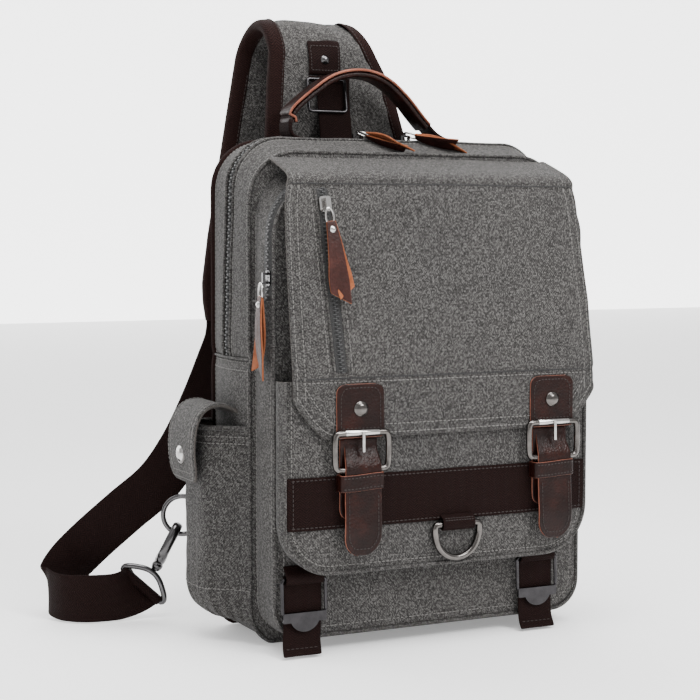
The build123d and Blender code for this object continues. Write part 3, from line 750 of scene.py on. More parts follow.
facePath = outline(-127.5, 127.5, 12, 337, 22, 38)
frontFace = skin("frontPanel", disc(facePath, -47.6, 22, 150, 1.2, -1, frontCrown), [canvas, lining], (0, -1, 0),
                 loop=True, flat=onFront, wall=1.8, outside=-1)
own(frontFace, "bag", "canvas", "front_panel")
total = frontPath(-47)[1][-1]
own(tube("frontPiping", [frontSpot(total * k / 300, -47.6, 0.4) for k in range(300)], 1.4, [canvasAround],
         closed=True, sides=8), "bag", "canvas")
frontTree = treeOf(frontBand, frontFace)


def frontZip():
    # The zip of the front compartment, up the left side and over the top.
    path = frontPath(-41.5)
    start = (front["half"] - front["lowR"]) + front["lowR"] * pi / 2 + (front["zipZ"] - front["low"] - front["lowR"])
    end = path[1][-1] - start
    rows = [[frontSpot(s, y, 0.5) for s in spread(start, end, 130)] for y in spread(-46.2, -36.8, 4)]
    own(skin("frontZipTape", rows, [zipClothAndSeamShade], inFront, wall=0.8, outside=1, smooth=0), "bag", "zip", "front_zip_tape")
    spots = [frontSpot(s, -41.5, 1.5) for s in spread(start + 2, end - 2, 190)]
    normals = [Vector((outlineSpot(path, s)[2], 0, outlineSpot(path, s)[3])) for s in spread(start + 2, end - 2, 190)]
    zipTeeth("frontZipTeeth", spots, normals, "bag", "zip", tooth=(3.4, 1.6, 1.4))
    hemLine = [frontSpot(start - 1, y, 0.8) for y in spread(-46.5, -13, 16)]
    own(tube("frontZipHem", hemLine, 1.2, [canvasAround], sides=8, flatten=0.8), "bag", "canvas")


frontZip()
frontLines = [[frontSpot(s, -43.5, 1) for s in spread(20, 330, 110)],
              [frontSpot(frontPath(-43.5)[1][-1] - s, -43.5, 1) for s in spread(20, 330, 110)],
              [frontSpot(s, -16.0, 1) for s in spread(20, 420, 140)],
              [frontSpot(frontPath(-16)[1][-1] - s, -16.0, 1) for s in spread(20, 420, 140)]]
stitches("frontStitching", frontLines, frontTree, bodyWay, "bag")
faceSeam = outline(-121, 121, 18, 330, 18, 34)
faceLine = [Vector((x, -60, z)) for x, z in [onOutline(faceSeam, s) for s in spread(0, 500, 160)]]
faceLineR = [Vector((-p.x, -60, p.z)) for p in faceLine]
stitches("frontFaceStitching", [faceLine[:70], faceLineR[:70]], frontTree, (0, 1, 0), "bag")
print("front compartment")


# Front pocket with its webbing band

pocket = dict(x0=-127.0, x1=123.0, low=60.0, high=198.0, r=36.0, y=-64.0, bandLow=92.0, bandHigh=130.0)


def pocketPath(grow=0.0):
    points = [((pocket["x0"] + pocket["x1"]) / 2, pocket["low"] - grow)]
    for cx, cz, a0 in ((pocket["x0"] + pocket["r"], pocket["low"] + pocket["r"], 270),):
        for k in range(13):
            a = radians(a0 - 90 * k / 12)
            points.append((cx + (pocket["r"] + grow) * cos(a), cz + (pocket["r"] + grow) * sin(a)))
    points.append((pocket["x0"] - grow, pocket["high"]))
    left = points
    centre = (pocket["x0"] + pocket["x1"]) / 2
    right = [(2 * centre - x, z) for x, z in points]
    line = left[::-1] + right[1:]
    lengths = [0.0]
    for a, b in zip(line, line[1:]):
        lengths.append(lengths[-1] + sqrt((b[0] - a[0]) ** 2 + (b[1] - a[1]) ** 2))
    return line, lengths


def pocketSpot(s, y, lift=0.0):
    path = pocketPath()
    x, z, nx, nz = outlineSpot(path, s)
    nx, nz = -nx, -nz
    across = sin(pi * (-y - 48) / 16)
    puff = 1.8 * across + 1.2 * across * wobble((x, y, z), 22, 3.3)
    return Vector((x + nx * (puff + lift), y, z + nz * (puff + lift)))


def pocketSag(x, z):
    # How far the pocket face stands out: fuller below the band, with soft puckers along the seam.
    edge = min(x - pocket["x0"], pocket["x1"] - x, z - pocket["low"] + 2)
    depth = 1.1 * ease(edge / 16) + 1.6 * hump(z, 78, 13) * ease(edge / 20)
    depth += 0.55 * wobble((x, 1, z), 17, 6.1) * exp(-edge / 16.0)
    depth += 0.5 * wobble((x, 1, z), 48, 1.9) * ease(edge / 20)
    return depth


def pocketFace():
    rows = []
    for i in range(46):
        row = []
        z = pocket["low"] + (pocket["high"] - pocket["low"]) * (i / 45) ** 1.15
        inset = 0.0
        if z < pocket["low"] + pocket["r"]:
            inset = pocket["r"] - sqrt(max(0.0, pocket["r"] ** 2 - (pocket["low"] + pocket["r"] - z) ** 2))
        for j in range(90):
            x = (pocket["x0"] + inset) + (pocket["x1"] - pocket["x0"] - 2 * inset) * j / 89
            row.append(Vector((x, pocket["y"] + 0.4 - pocketSag(x, z), z)))
        rows.append(row)
    return rows


pocketLength = pocketPath()[1][-1]
pocketRows = [[pocketSpot(pocketLength * k / 149, y) for k in range(150)] for y in spread(-48, -64, 6)]
pocketSides = skin("pocketGusset", pocketRows, [canvas, lining], awayFrom(-2, -56, 150), wall=1.8, outside=-1)
own(pocketSides, "bag", "canvas", "pocket_gusset")
pocketFront = skin("pocketPanel", pocketFace(), [canvas, lining], (0, -1, 0), flat=onFront, wall=1.8, outside=-1)
own(pocketFront, "bag", "canvas", "pocket_panel")
own(tube("pocketPiping", [pocketSpot(pocketLength * k / 239, -64.2, 0.3) for k in range(240)], 1.5, [canvasAround],
         sides=8), "bag", "canvas")
own(tube("pocketRearSeam", [pocketSpot(pocketLength * k / 199, -48.6, 0.8) for k in range(200)], 1.0, [canvasAround],
         sides=6), "bag", "canvas")
pocketTree = treeOf(pocketFront, pocketSides)


def bandGrid():
    rows = []
    for z in spread(pocket["bandLow"], pocket["bandHigh"], 14):
        row = []
        for x in spread(pocket["x0"] + 0.8, pocket["x1"] - 0.8, 100):
            found = drop(pocketTree, Vector((x, -90, z)), (0, 1, 0), 60, 1.0)
            edge = hump(z, 111, 19.5)
            row.append(Vector((x, found[0].y - 0.35 * edge, z + 0.4 * wobble((x, 0, 0), 40, 3))))
        rows.append(row)
    return rows


band = skin("webbingBand", bandGrid(), [webbing], (0, -1, 0), wall=1.3, outside=0, smooth=1)
own(band, "bag", "webbing", "webbing_band")
bandTree = treeOf(band, pocketFront)
bandLines = [[Vector((x, -80, z)) for x in spread(pocket["x0"] + 4, pocket["x1"] - 4, 60)] for z in (94.2, 127.8)]
bandLines += [[Vector((x, -80, z)) for z in spread(93, 129, 12)] for x in (pocket["x0"] + 5.5, pocket["x1"] - 5.5)]
stitches("bandStitching", bandLines, bandTree, (0, 1, 0), "bag", darkThread, slot="webbing")
pocketLines = []
for grow in (-5.0,):
    line, lengths = pocketPath(grow)
    pocketLines.append([Vector((x, -80, z)) for x, z in line])
stitches("pocketStitching", pocketLines, pocketTree, (0, 1, 0), "bag")
print("front pocket")


# Flap

flap = dict(wall=2.4, cornerX=27.0, cornerZ=28.0)


def smoothLine(points, step=2.0, passes=3):
    # Corners of a line rounded off by cutting them a few times.
    line = [Vector(p) for p in points]
    for _ in range(passes):
        cut = [line[0]]
        for a, b in zip(line, line[1:]):
            cut += [a.lerp(b, 0.25), a.lerp(b, 0.75)]
        cut.append(line[-1])
        line = cut
    return resample(line, step)


flapSide = smoothLine([(0, -14.5, 357.2), (0, -31, 351.6), (0, -47.5, 345.0), (0, -55.2, 336.5), (0, -59.8, 290),
                       (0, -65.5, 230), (0, -68.0, 200), (0, -68.1, 180), (0, -68.0, 156)], 1.0)
flapRun = len(flapSide) - 1


def flapSideAt(t):
    # Point of the flap's side view, t from 0 at the hinge to 1 at its lower edge.
    at = min(max(t, 0.0), 1.0) * flapRun
    k = min(int(at), flapRun - 1)
    return flapSide[k].lerp(flapSide[k + 1], at - k)


def flapT(z):
    # Where the side view passes a height, below the fold.
    low, high = 0.0, 1.0
    for _ in range(30):
        half = (low + high) / 2
        if flapSideAt(half).z > z:
            low = half
        else:
            high = half
    return low


def flapLeft(z):
    return -122.0 - (z - 184) / 340 - 1.2 * sin(pi * min(1, max(0, (z - 184) / 160))) + 4.5 * ease((z - 318) / 34)


def flapRight(z):
    return lookUp([(182, 129.0), (250, 128.0), (342, 116.5), (380, 116)], z) + 0.8 * sin(z / 23.0)


def flapLowT(u):
    # The lower edge rises round the corners.
    width = 251.0
    d = min(u, 1 - u) * width
    if d >= flap["cornerX"]:
        return 1.0
    lift = flap["cornerZ"] * ((flap["cornerX"] - d) / flap["cornerX"]) ** 1.5
    return 1 - lift / flapRun


kneeT = flapT(200)
foldT = flapT(338)


def flapPoint(u, t, lift=0.0):
    # The flap's outer face: u across from the left, t down from the hinge.
    p = flapSideAt(t)
    a, b = flapSideAt(t - 0.01), flapSideAt(t + 0.01)
    run = (b - a).normalized()
    normal = Vector((0, -run.z, run.y)) * -1
    if normal.y > 0 and t > 0.3:
        normal = -normal
    if t <= 0.3 and normal.z < 0:
        normal = -normal
    z = p.z
    x = flapLeft(z) + (flapRight(z) - flapLeft(z)) * u
    away = min(u, 1 - u) * 250
    down = (flapLowT(u) - t) * flapRun
    depth = 0.9 * sin(pi * min(1, t)) * sin(pi * u)
    depth += 0.75 * wobble((x, 0, z), 62, 4.4) + 0.35 * wobble((x, 0, z), 21, 8.3)
    depth *= min(1.0, 0.25 + abs(t - kneeT) * 6) if t > kneeT - 0.1 else 1.0
    depth *= 1 - 0.85 * hump(x, -90, 16)
    past = (t - foldT) * flapRun
    depth += 1.6 * exp(-(past / 11.0) ** 2) if past < 0 else 1.6 - 2.6 * ease(past / 1.4) + 1.0 * ease(past / 14)
    below = (t - kneeT) * flapRun
    depth += 1.3 * ease(-below / 1.2) * exp(min(0.0, below) / 30.0) - 0.7 * exp(-((below - 1.0) / 1.3) ** 2)
    depth += 0.7 * exp(-((away - 1.5) / 3.0) ** 2) + 0.7 * exp(-((down - 1.5) / 3.0) ** 2)
    depth -= 0.5 * exp(-((away - 6.5) / 1.6) ** 2) * ease((t - 0.12) * 12)
    depth -= 0.5 * exp(-((down - 6.0) / 1.6) ** 2)
    depth -= 1.6 * exp(-away / 6.0) * ease((t - 0.2) * 8)
    return Vector((x, p.y, z)) + normal * (depth + lift)


def flapRows(columns=104, lines=100):
    rows = []
    for i in range(lines):
        row = []
        for j in range(columns):
            u = j / (columns - 1)
            u = u + 0.045 * sin(2 * pi * u) / (2 * pi) * -6
            row.append(flapPoint(u, flapLowT(u) * i / (lines - 1)))
        rows.append(row)
    return rows


def outwardOfFlap(p):
    return Vector((0, -1, 0.0)) if p.z < 335 else Vector((0, -0.3, 1))


flapCloth = skin("flapPanel", flapRows(), [canvas, lining], outwardOfFlap, wall=flap["wall"], outside=-1,
                 smooth=1)
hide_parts("flap_panel")
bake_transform(flapCloth)
flapTree = treeOf(flapCloth)


def flapWay(p):
    return Vector((0, 1, 0)) if p.z < 335 else Vector((0, 0.35, -1)).normalized()


def flapEdge(inset, t0=0.16, steps=90):
    # A line that keeps its distance from the sides and the lower edge.
    left, bottom, right = [], [], []
    for i in range(steps):
        t = t0 + (flapLowT(0.0) - t0) * i / (steps - 1)
        left.append(flapPoint(inset / 251, t, 2))
        right.append(flapPoint(1 - inset / 251, t, 2))
    for k in range(121):
        u = (inset + (251 - 2 * inset) * k / 120) / 251
        outer = (u - inset / 251) / (1 - 2 * inset / 251)
        bottom.append(flapPoint(u, flapLowT(outer) - inset / flapRun, 2))
    return left + bottom + right[::-1]


zipFlap = dict(high=(-94.2, 333), low=(-85.4, 203.5), half=4.6)


def alongFlap(points, lift):
    # Points (x, z) put on the flap with their normals.
    spots, normals = [], []
    for x, z in points:
        found = drop(flapTree, Vector((x, -62, z)), (0, 1, 0), 60, lift)
        spots.append(found[0])
        normals.append(found[1])
    return spots, normals


def flapZip():
    (x0, z0), (x1, z1) = zipFlap["high"], zipFlap["low"]
    middle = [(x0 + (x1 - x0) * k / 80, z0 + (z1 - z0) * k / 80) for k in range(81)]
    rows = []
    for side in spread(-zipFlap["half"], zipFlap["half"], 5):
        spots, _ = alongFlap([(x + side, z) for x, z in middle], 0.35)
        rows.append(spots)
    tape = skin("flapZipTape", rows, [zipClothAndSeamShade], (0, -1, 0), wall=0.7, outside=1, smooth=0)
    own(tape, "flap", "zip", "flap_zip_tape")
    for side in (-zipFlap["half"] - 0.7, zipFlap["half"] + 0.7):
        spots, _ = alongFlap([(x + side, z) for x, z in middle], 0.5)
        name = "flapZipLip" + ("Left" if side < 0 else "Right")
        own(tube(name, spots, 1.05, [canvasAround], sides=8), "flap", "canvas")
    fine = [(x0 + (x1 - x0) * k / 92, z0 + (z1 - z0) * k / 92) for k in range(93)]
    spots, normals = alongFlap(fine, 1.6)
    zipTeeth("flapZipTeeth", spots, normals, "flap", "zip", tooth=(3.0, 1.15, 1.3), gap=1.2)
    lines = []
    for side in (-9.0, 9.0):
        lines.append([Vector((x + side, -80, z)) for x, z in middle])
    return lines


flapLines = flapZip()
for inset in (3.4, 9.4):
    flapLines.append(flapEdge(inset))
flapLines.append([flapPoint(u, kneeT + 3.6 / flapRun, 2) for u in spread(0.03, 0.97, 110)])
# Near-black cords along the fold and knee seams are painted shade: they stand in for the dark shadowed gap where one
# panel overlaps the next.
for name, t in (("flapFoldSeamShade", foldT + 1.1 / flapRun), ("flapKneeSeamShade", kneeT + 0.7 / flapRun)):
    seam = [flapPoint(u, t, 0.3) for u in spread(0.012, 0.988, 160)]
    own(tube(name, seam, 0.6, [zipClothAndSeamShade], sides=6), "flap", "canvas")
stitches("flapStitching", flapLines, flapTree, flapWay, "flap")
print("flap")


# Leather tabs, buckles, straps and keepers

buckle = dict(places={"left": -70.5, "right": 90.0}, half=14.5, tip=72.0, keeperZ=119.5)


def tabRows(x0):
    rows = []
    for i in range(30):
        z = 157.2 + 38.0 * i / 29
        inset = 0.0
        if z > 188.2:
            inset = 7 - sqrt(max(0.0, 49 - (z - 188.2) ** 2))
        if z < 162:
            inset = 2.2 * ((162 - z) / 5) ** 2
        row = []
        for j in range(24):
            u = -1 + 2 * j / 23
            x = x0 + (19 - inset) * u
            y = -69.9 - 0.35 * (1 - u * u) - 1.7 * exp(-(z - 157) / 4.0) - 0.3 * wobble((x, 0, z), 15, 5)
            row.append(Vector((x, y, z)))
        rows.append(row)
    return rows


def domedRivet(name, centre, way, radius, rise, body, slot, finish, *nodes):
    # A domed rivet head with a thin rim.
    bpy.ops.object.select_all(action="DESELECT")
    bpy.ops.mesh.primitive_cylinder_add(vertices=40, radius=radius * mm, depth=0.6 * mm, location=(0, 0, 0.3 * mm))
    made = bpy.context.object
    made.name = name
    bpy.ops.object.mode_set(mode="EDIT")
    bpy.ops.mesh.select_mode(type="FACE")
    bpy.ops.mesh.select_all(action="DESELECT")
    bpy.ops.object.mode_set(mode="OBJECT")
    for face in made.data.polygons:
        face.select = face.normal.z > 0.9
    bpy.ops.object.mode_set(mode="EDIT")
    for share, up in ((0.90, 0.10), (0.86, 0.34), (0.82, 0.26), (0.74, 0.18), (0.60, 0.09), (0.34, 0.03)):
        bpy.ops.mesh.extrude_region_move(TRANSFORM_OT_translate={"value": (0, 0, rise * up * mm)})
        bpy.ops.transform.resize(value=(share, share, 1))
    bpy.ops.object.mode_set(mode="OBJECT")
    made.data.materials.append(finish)
    for face in made.data.polygons:
        face.use_smooth = True
    turn = Vector((0, 0, 1)).rotation_difference(Vector(way)).to_matrix().to_4x4()
    made.data.transform(Matrix.Translation(Vector(centre) * mm) @ turn)
    return own(made, body, slot, *nodes)


def strapTip(z):
    # Half the strap's width, rounded at its tip.
    r = buckle["half"]
    past = (buckle["tip"] + r) - z
    return r if past <= 0 else sqrt(max(0.6, r * r - past * past))


def strapRows(x0, lean):
    side = smoothLine([(0, -68.6, 156.5), (0, -68.9, 149.5), (0, -71.5, 144), (0, -74.9, 137), (0, -75.2, 131),
                       (0, -75.0, 120), (0, -75.6, 104), (0, -76.2, 92), (0, -75.2, 80), (0, -73.9, 72.4)], 1.9)
    rows = []
    for p in side:
        half = strapTip(p.z) - 1.6 * hump(p.z, 150, 9)
        row = []
        for j in range(20):
            u = -1 + 2 * j / 19
            curl = -0.5 * u * u * hump(p.z, 92, 20) + 0.3 * wobble((x0 + u * 14, 0, p.z), 14, 3)
            row.append(Vector((x0 + half * u + lean * (p.z - 120) / 50, p.y + curl, p.z)))
        rows.append(row)
    return rows


def underRows(x0):
    rows = []
    for z in spread(156.0, 97.0, 26):
        low = 97.0
        half = buckle["half"] + 0.5
        if z < low + 9:
            half -= 9 - sqrt(max(0.0, 81 - (low + 9 - z) ** 2))
        rows.append([Vector((x0 - 2.6 + half * u + 1.6, -68.5 - 0.2 * (1 - u * u), z)) for u in spread(-1, 1, 16)])
    return rows


def keeperLoop(x0):
    around = ((-18.6, -71), (-18.8, -66.4), (-16, -66.2), (13, -66.2), (16.2, -66.5), (16.4, -71), (16.2, -76.3),
              (12, -76.8), (-14, -76.9), (-18.4, -76.6), (-18.6, -71))
    corners = smoothLine([(x, y, 0) for x, y in around], 1.6)
    corners = corners[:-1]
    rows = []
    for z in spread(buckle["keeperZ"], buckle["keeperZ"] + 12, 9):
        rows.append([Vector((x0 + p.x, p.y, z + 0.6 * sin(p.x / 9.0))) for p in corners])
    return rows


def hardware(side, x0):
    body = side + "_buckle"
    lean = 0.8 if side == "left" else -0.4
    tab = skin(side + "Tab", tabRows(x0), [leather, leatherEdge], (0, -1, 0), wall=1.7, outside=-1, rim=True, smooth=1)
    own(tab, "flap", "leather", "buckle_tabs")
    tree = treeOf(tab)
    ring = []
    for z, u in [(160.5, -0.82), (187, -0.82), (191.3, -0.68), (192.4, -0.5), (192.4, 0.5), (191.3, 0.68), (187, 0.82),
                 (160.5, 0.82)]:
        ring.append(Vector((x0 + 19 * u, -90, z)))
    row = [Vector((x0 + 19 * u, -90, 163.5)) for u in (-0.8, 0.8)]
    stitches(side + "TabStitching", [ring, row], tree, (0, 1, 0), "flap", darkThread, pitch=2.9, long=2.2, thick=0.75,
             slot="leather")
    domedRivet(side + "Rivet", (x0, -70.6, 177), (0, -1, 0), 5.6, 2.4, "flap", "bright_nickel", agedNickel,
               "tab_rivets")
    strap = skin(side + "Strap", strapRows(x0, lean), [leather, leatherEdge], (0, -1, 0), wall=2.0, outside=-1,
                 rim=True)
    own(strap, body, "leather", side + "_buckle_strap")
    tree = treeOf(strap)
    edge = spread(116, buckle["tip"] + 3.2, 40)
    sewn = []
    for sign in (-1, 1):
        row = []
        for z in edge:
            x = x0 + lean * (z - 120) / 50 + sign * max(0.0, strapTip(z) - 3.0)
            row.append(Vector((x, -95, z + (2.4 if z < 86 else 0))))
        sewn += row if sign < 0 else row[::-1]
    stitches(side + "StrapStitching", [sewn], tree, (0, 1, 0), body, darkThread, pitch=2.9, long=2.2,
             thick=0.75, slot="leather")
    under = skin(side + "UnderStrap", underRows(x0), [leather, leatherEdge], (0, -1, 0), wall=1.8, outside=-1,
                 rim=True)
    own(under, body, "leather")
    loopBand = skin(side + "Keeper", keeperLoop(x0), [leather, leatherEdge], lambda p: p - Vector((x0 - 1, -71, p.z)),
                    wall=1.6, outside=-1, rim=True, loop=True)
    own(loopBand, body, "leather", side + "_keeper")
    tree = treeOf(loopBand)
    rows = [[Vector((x0 + x, -95, z + 0.6 * sin(x / 9.0))) for x in spread(-17, 14.8, 24)]
            for z in (buckle["keeperZ"] + 2.2, buckle["keeperZ"] + 9.8)]
    stitches(side + "KeeperStitching", rows, tree, (0, 1, 0), body, darkThread, pitch=2.9, long=2.2, thick=0.75,
             slot="leather")
    bpy.ops.object.select_all(action="DESELECT")
    bpy.ops.mesh.primitive_cylinder_add(vertices=28, radius=2.35 * mm, depth=27 * mm,
                                        location=(x0 * mm, -0.0718, 0.1605), rotation=(0, pi / 2, 0))
    roller = bpy.context.object
    roller.name = side + "Roller"
    bpy.ops.object.transform_apply(location=True, rotation=True, scale=True)
    soften = roller.modifiers.new("soften", "BEVEL")
    soften.width = 0.5 * mm
    soften.segments = 2
    applyAll(roller)
    roller.data.materials.append(brightNickel)
    bpy.ops.object.shade_smooth_by_angle(angle=radians(40))
    own(roller, body, "bright_nickel")


for side, x0 in buckle["places"].items():
    hardware(side, x0)
print("buckles")


# Zip pulls: two leaves of leather on a wire link

def leafRows(length, half, bend, twist, lift, slant, wave, steps=26):
    # A leaf that hangs along -Y from its link: narrow neck, wide lower end with a slanted cut.
    rows = []
    for i in range(steps):
        v = i / (steps - 1)
        row = []
        for j in range(12):
            u = -1 + 2 * j / 11
            wide = lookUp([(0, 3.4), (0.14, 4.4), (0.3, 5.4), (0.75, half), (1, half * 0.93)], v)
            y = -8.5 - (length - 8.5 + slant * u * v ** 3) * v 
            x = u * wide
            z = lift + bend * sin(v * pi * 1.15) + wave * sin(v * 7 + u) * v + twist * u * v * 2.2
            row.append(Vector((x, y, z)))
        rows.append(row)
    return rows


def pull(name, origin, right, up, body, replaced, length=64, half=7.6, spreadOut=5.0, bend=1.4):
    # origin is the link's pivot, up points from the pivot to the zip, right runs across the pull.
    right, up = Vector(right).normalized(), Vector(up).normalized()
    out = right.cross(up).normalized()
    matrix = Matrix((right, up, out)).transposed().to_4x4()
    leaves = [("Front", leafRows(length, half, bend, 0.5, 1.2, 5.0, 0.5), 0.0),
              ("Back", leafRows(length - 3, half, -bend * 0.7, -0.6, -1.3, -3.5, 0.6), spreadOut)]
    for label, rows, swing in leaves:
        a = radians(swing)
        turned = []
        for row in rows:
            turned.append([Vector(origin) + matrix.to_3x3() @ Vector((p.x * cos(a) - p.y * sin(a),
                                                                      p.x * sin(a) + p.y * cos(a), p.z)) for p in row])
        face = out if label == "Front" else -out
        cloth = skin(name + label, turned, [pullLeather, suede], face, wall=1.5, outside=-1, smooth=1)
        own(cloth, body, "pull_leather", replaced)
    spot = Vector(origin) + matrix.to_3x3() @ Vector((0.2, -15.0, 1.2 + bend * 0.55))
    domedRivet(name + "Rivet", spot, out, 2.5, 1.3, body, "bright_nickel", brightNickel)
    wire = []
    for k in range(36):
        a = 2 * pi * k / 36
        wire.append(Vector(origin) + matrix.to_3x3() @ Vector((3.1 * cos(a), -5.6 + 6.2 * sin(a), 0.0)))
    own(tube(name + "Link", wire, 0.85, [brightNickel], closed=True, sides=8), body, "bright_nickel")


flapSlope = Vector((0, -52 + 65.4, 334 - 200)).normalized()
flapOut = Vector((1, 0, 0)).cross(flapSlope)
flapPivot = Vector((-93.0, -65.4 + (318 - 200) * flapSlope.y / flapSlope.z - 2.6, 318)) + flapOut * 9.3


def turned(vector, axis, degrees):
    return Matrix.Rotation(radians(degrees), 3, Vector(axis)) @ Vector(vector)


pull("flapPull", flapPivot - flapOut, turned((1, 0, 0), flapOut, 6), turned(flapSlope, flapOut, 6), "flap_zip_pull",
     "flap_zip_pull", spreadOut=5)
pull("sidePull", Vector((-135.3, -41.5, 266)), (0, -1, 0), (0, 0, 1), "side_zip_pull", "side_zip_pull", spreadOut=-7)
for side, x0, heading in (("left", -27, -60), ("right", 14, -43)):
    a = radians(heading)
    forward = Vector((cos(a), sin(a), 0))
    up = (-forward + Vector((0, 0, 0.27))).normalized()
    right = turned(up.cross(Vector((0, 0, 1))).normalized(), up, 30)
    pull(side + "TopPull", Vector((x0, 24, 378.4)), right, up, "main_zip_" + side + "_pull",
         "main_zip_" + side + "_pull", length=46, half=7.0, spreadOut=8 if side == "left" else -6, bend=1.6)
print("pulls")


# Side pocket and its flap

sack = dict(front=-10.0, rear=59.0, floor=16.0, lip=160.0)


def sackRow(z, steps=70):
    # Round the pocket from the body's front seam to its rear one at one height.
    t = (z - sack["floor"]) / (sack["lip"] - sack["floor"])
    out = 29.0 * (0.93 + 0.07 * sin(pi * min(1, t)))
    if t < 0.16:
        out *= sqrt(max(0.0, 1 - (1 - t / 0.16) ** 2)) * 0.72 + 0.28
    line = smoothLine([(-131, sack["front"], 0), (-133 - out * 0.18, 0, 0), (-131 - out * 0.85, 12, 0),
                       (-131 - out, 18, 0), (-131 - out * 1.02, 38, 0), (-131 - out * 0.98, 52, 0),
                       (-131 - out * 0.7, sack["rear"] - 1, 0), (-131 - out * 0.3, sack["rear"] + 0.5, 0),
                       (-131, sack["rear"], 0)], 1.0)
    count = len(line)
    row = []
    for k in range(steps):
        at = (count - 1) * k / (steps - 1)
        i = min(int(at), count - 2)
        p = line[i].lerp(line[i + 1], at - i)
        away = Vector((p.x + 131, p.y - 28, 0))
        away = away.normalized() if away.length else Vector((-1, 0, 0))
        gather = 2.6 * exp(-max(0.0, t - 0.02) / 0.16) * sin(k * 0.9 + 2 * wobble((k, 0, 0), 5, 1))
        gather *= ease(k / 8) * ease((steps - 1 - k) / 8)
        fold = 1.3 * wobble((p.x, p.y, z), 34, 6.4) + 0.7 * wobble((p.x, p.y, z), 14, 9.9)
        fold *= ease(k / 6) * ease((steps - 1 - k) / 6)
        row.append(Vector((p.x, p.y, z)) + away * (gather * 0.6 + fold))
    return row


def sackHeights():
    low = [sack["floor"] + 25 * (1 - cos(a)) for a in spread(0.0, pi / 2, 12)]
    return low + spread(sack["floor"] + 28, sack["lip"] - 1, 34)


sackRows = [sackRow(z) for z in sackHeights()]
bottom = []
centre = Vector((-131, 26, sack["floor"] + 1.0))
for share in (0.0, 0.35, 0.7):
    bottom.append([centre.lerp(Vector((p.x, p.y, sack["floor"] + 0.4)), share) for p in sackRows[0]])
sideSack = skin("sidePocket", bottom + sackRows, [canvas, lining], lambda p: p - Vector((-125, 26, 95)), wall=1.8,
                outside=-1)
own(sideSack, "bag", "canvas", "side_pocket")
lipLine = [p + Vector((0, 0, 0.4)) for p in sackRow(sack["lip"] - 1)]
own(tube("sidePocketHem", lipLine, 1.9, [canvasAround], sides=8), "bag", "canvas")
sackTree = treeOf(sideSack)


def sackWay(p):
    return Vector((-125 - p.x, (26 - p.y) * (0.55 if p.x < -150 else 0.2), 0)).normalized()


sackLines = []
for z in (sack["lip"] - 7, sack["lip"] - 12, sack["floor"] + 24):
    sackLines.append([p + Vector((-1, 0, 0)) for p in sackRow(z)])
stitches("sidePocketStitching", sackLines, sackTree, sackWay, "bag")

lid = dict(front=5.0, rear=58.0, tip=118.0)


def lidPath():
    return smoothLine([(-132.4, 0, 170.8), (-138, 0, 175.5), (-149, 0, 178.5), (-160, 0, 175), (-167.5, 0, 165),
                       (-170.6, 0, 150), (-169.8, 0, 135), (-167.0, 0, 118)], 1.2)


def lidRows():
    line = lidPath()
    rows = []
    for i, p in enumerate(line):
        t = i / (len(line) - 1)
        inset = 0.0
        if p.z < 131 and t > 0.5:
            inset = 13 - sqrt(max(0.0, 169 - (131 - p.z) ** 2))
        row = []
        for j in range(34):
            u = j / 33
            y = lid["front"] + inset + (lid["rear"] - lid["front"] - 2 * inset) * u
            edge = min(y - lid["front"], lid["rear"] - y)
            puff = 0.9 * wobble((p.x, y, p.z), 24, 2.7) - 1.4 * exp(-edge / 5.0) * ease(t * 3)
            away = Vector((p.x + 138, 0, (p.z - 140) * 0.7 if p.z > 156 else 0)).normalized()
            row.append(Vector((p.x, y, p.z)) + away * (puff + 0.6 * hump(edge, 2, 2.5)))
        rows.append(row)
    return rows


def outOfLid(p):
    return p - Vector((-135, 30, 140))


lidCloth = skin("sidePocketFlap", lidRows(), [canvas, lining], outOfLid, wall=2.6, outside=-1)
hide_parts("side_pocket_flap")
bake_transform(lidCloth)
lidTree = treeOf(lidCloth)
lidLine = lidPath()


def lidEdge(inset):
    left, right = [], []
    for p in lidLine[6:]:
        extra = 0.0
        if p.z < 131:
            extra = 13 - sqrt(max(0.0, 169 - (131 - p.z) ** 2))
        if p.z < lid["tip"] + inset:
            continue
        left.append(Vector((p.x - 3, lid["front"] + inset + extra * 0.8, p.z)))
        right.append(Vector((p.x - 3, lid["rear"] - inset - extra * 0.8, p.z)))
    lowest = [Vector((-172, y, lid["tip"] + inset)) for y in spread(left[-1].y, right[-1].y, 12)]
    return left + lowest + right[::-1]


def lidWay(p):
    return Vector((1, 0, 0)) if p.z < 160 else Vector((0.5, 0, -1)).normalized()


lidSewing = stitches("sidePocketFlapStitching", [lidEdge(3.0), lidEdge(8.0)], lidTree, lidWay, "side_pocket_flap")
lidSewing.parent = None
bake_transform(lidSewing)
snap = drop(lidTree, Vector((-190, 32, 139)), (1, 0, 0))[0]
domedRivet("sideSnapRim", snap + Vector((0.6, 0, 0)), (-1, 0, 0), 8.4, 0.7, "side_pocket_flap", "bright_nickel",
           agedNickel, "side_pocket_snap")
domedRivet("sideSnapDome", snap + Vector((0.1, 0, 0)), (-1, 0, 0), 6.4, 2.0, "side_pocket_flap", "bright_nickel",
           brightNickel)
print("side pocket")


# Loop of the D-ring, compression straps

def strip(name, points, width, centre, body, slot, material=None, across=(1, 0, 0), wall=1.3, facing=(0, -1, 0),
          nodes=(), taper=None, columns=12, step=1.8, passes=3, wave=0.25):
    # A length of webbing along a line of points, width across.
    line = smoothLine(points, step, passes)
    across = Vector(across).normalized()
    rows = []
    for i, p in enumerate(line):
        t = i / (len(line) - 1)
        half = width / 2 * (taper(t) if taper else 1)
        row = []
        for u in spread(-1, 1, columns):
            ripple = wave * wobble((p.x + u * 9, p.y, p.z), 12, 2)
            row.append(p + Vector(centre) + across * (half * u) + Vector(facing) * ripple)
        rows.append(row)
    piece = skin(name, rows, [material or webbing], facing, wall=wall, outside=0, smooth=1)
    return own(piece, body, slot, *nodes)


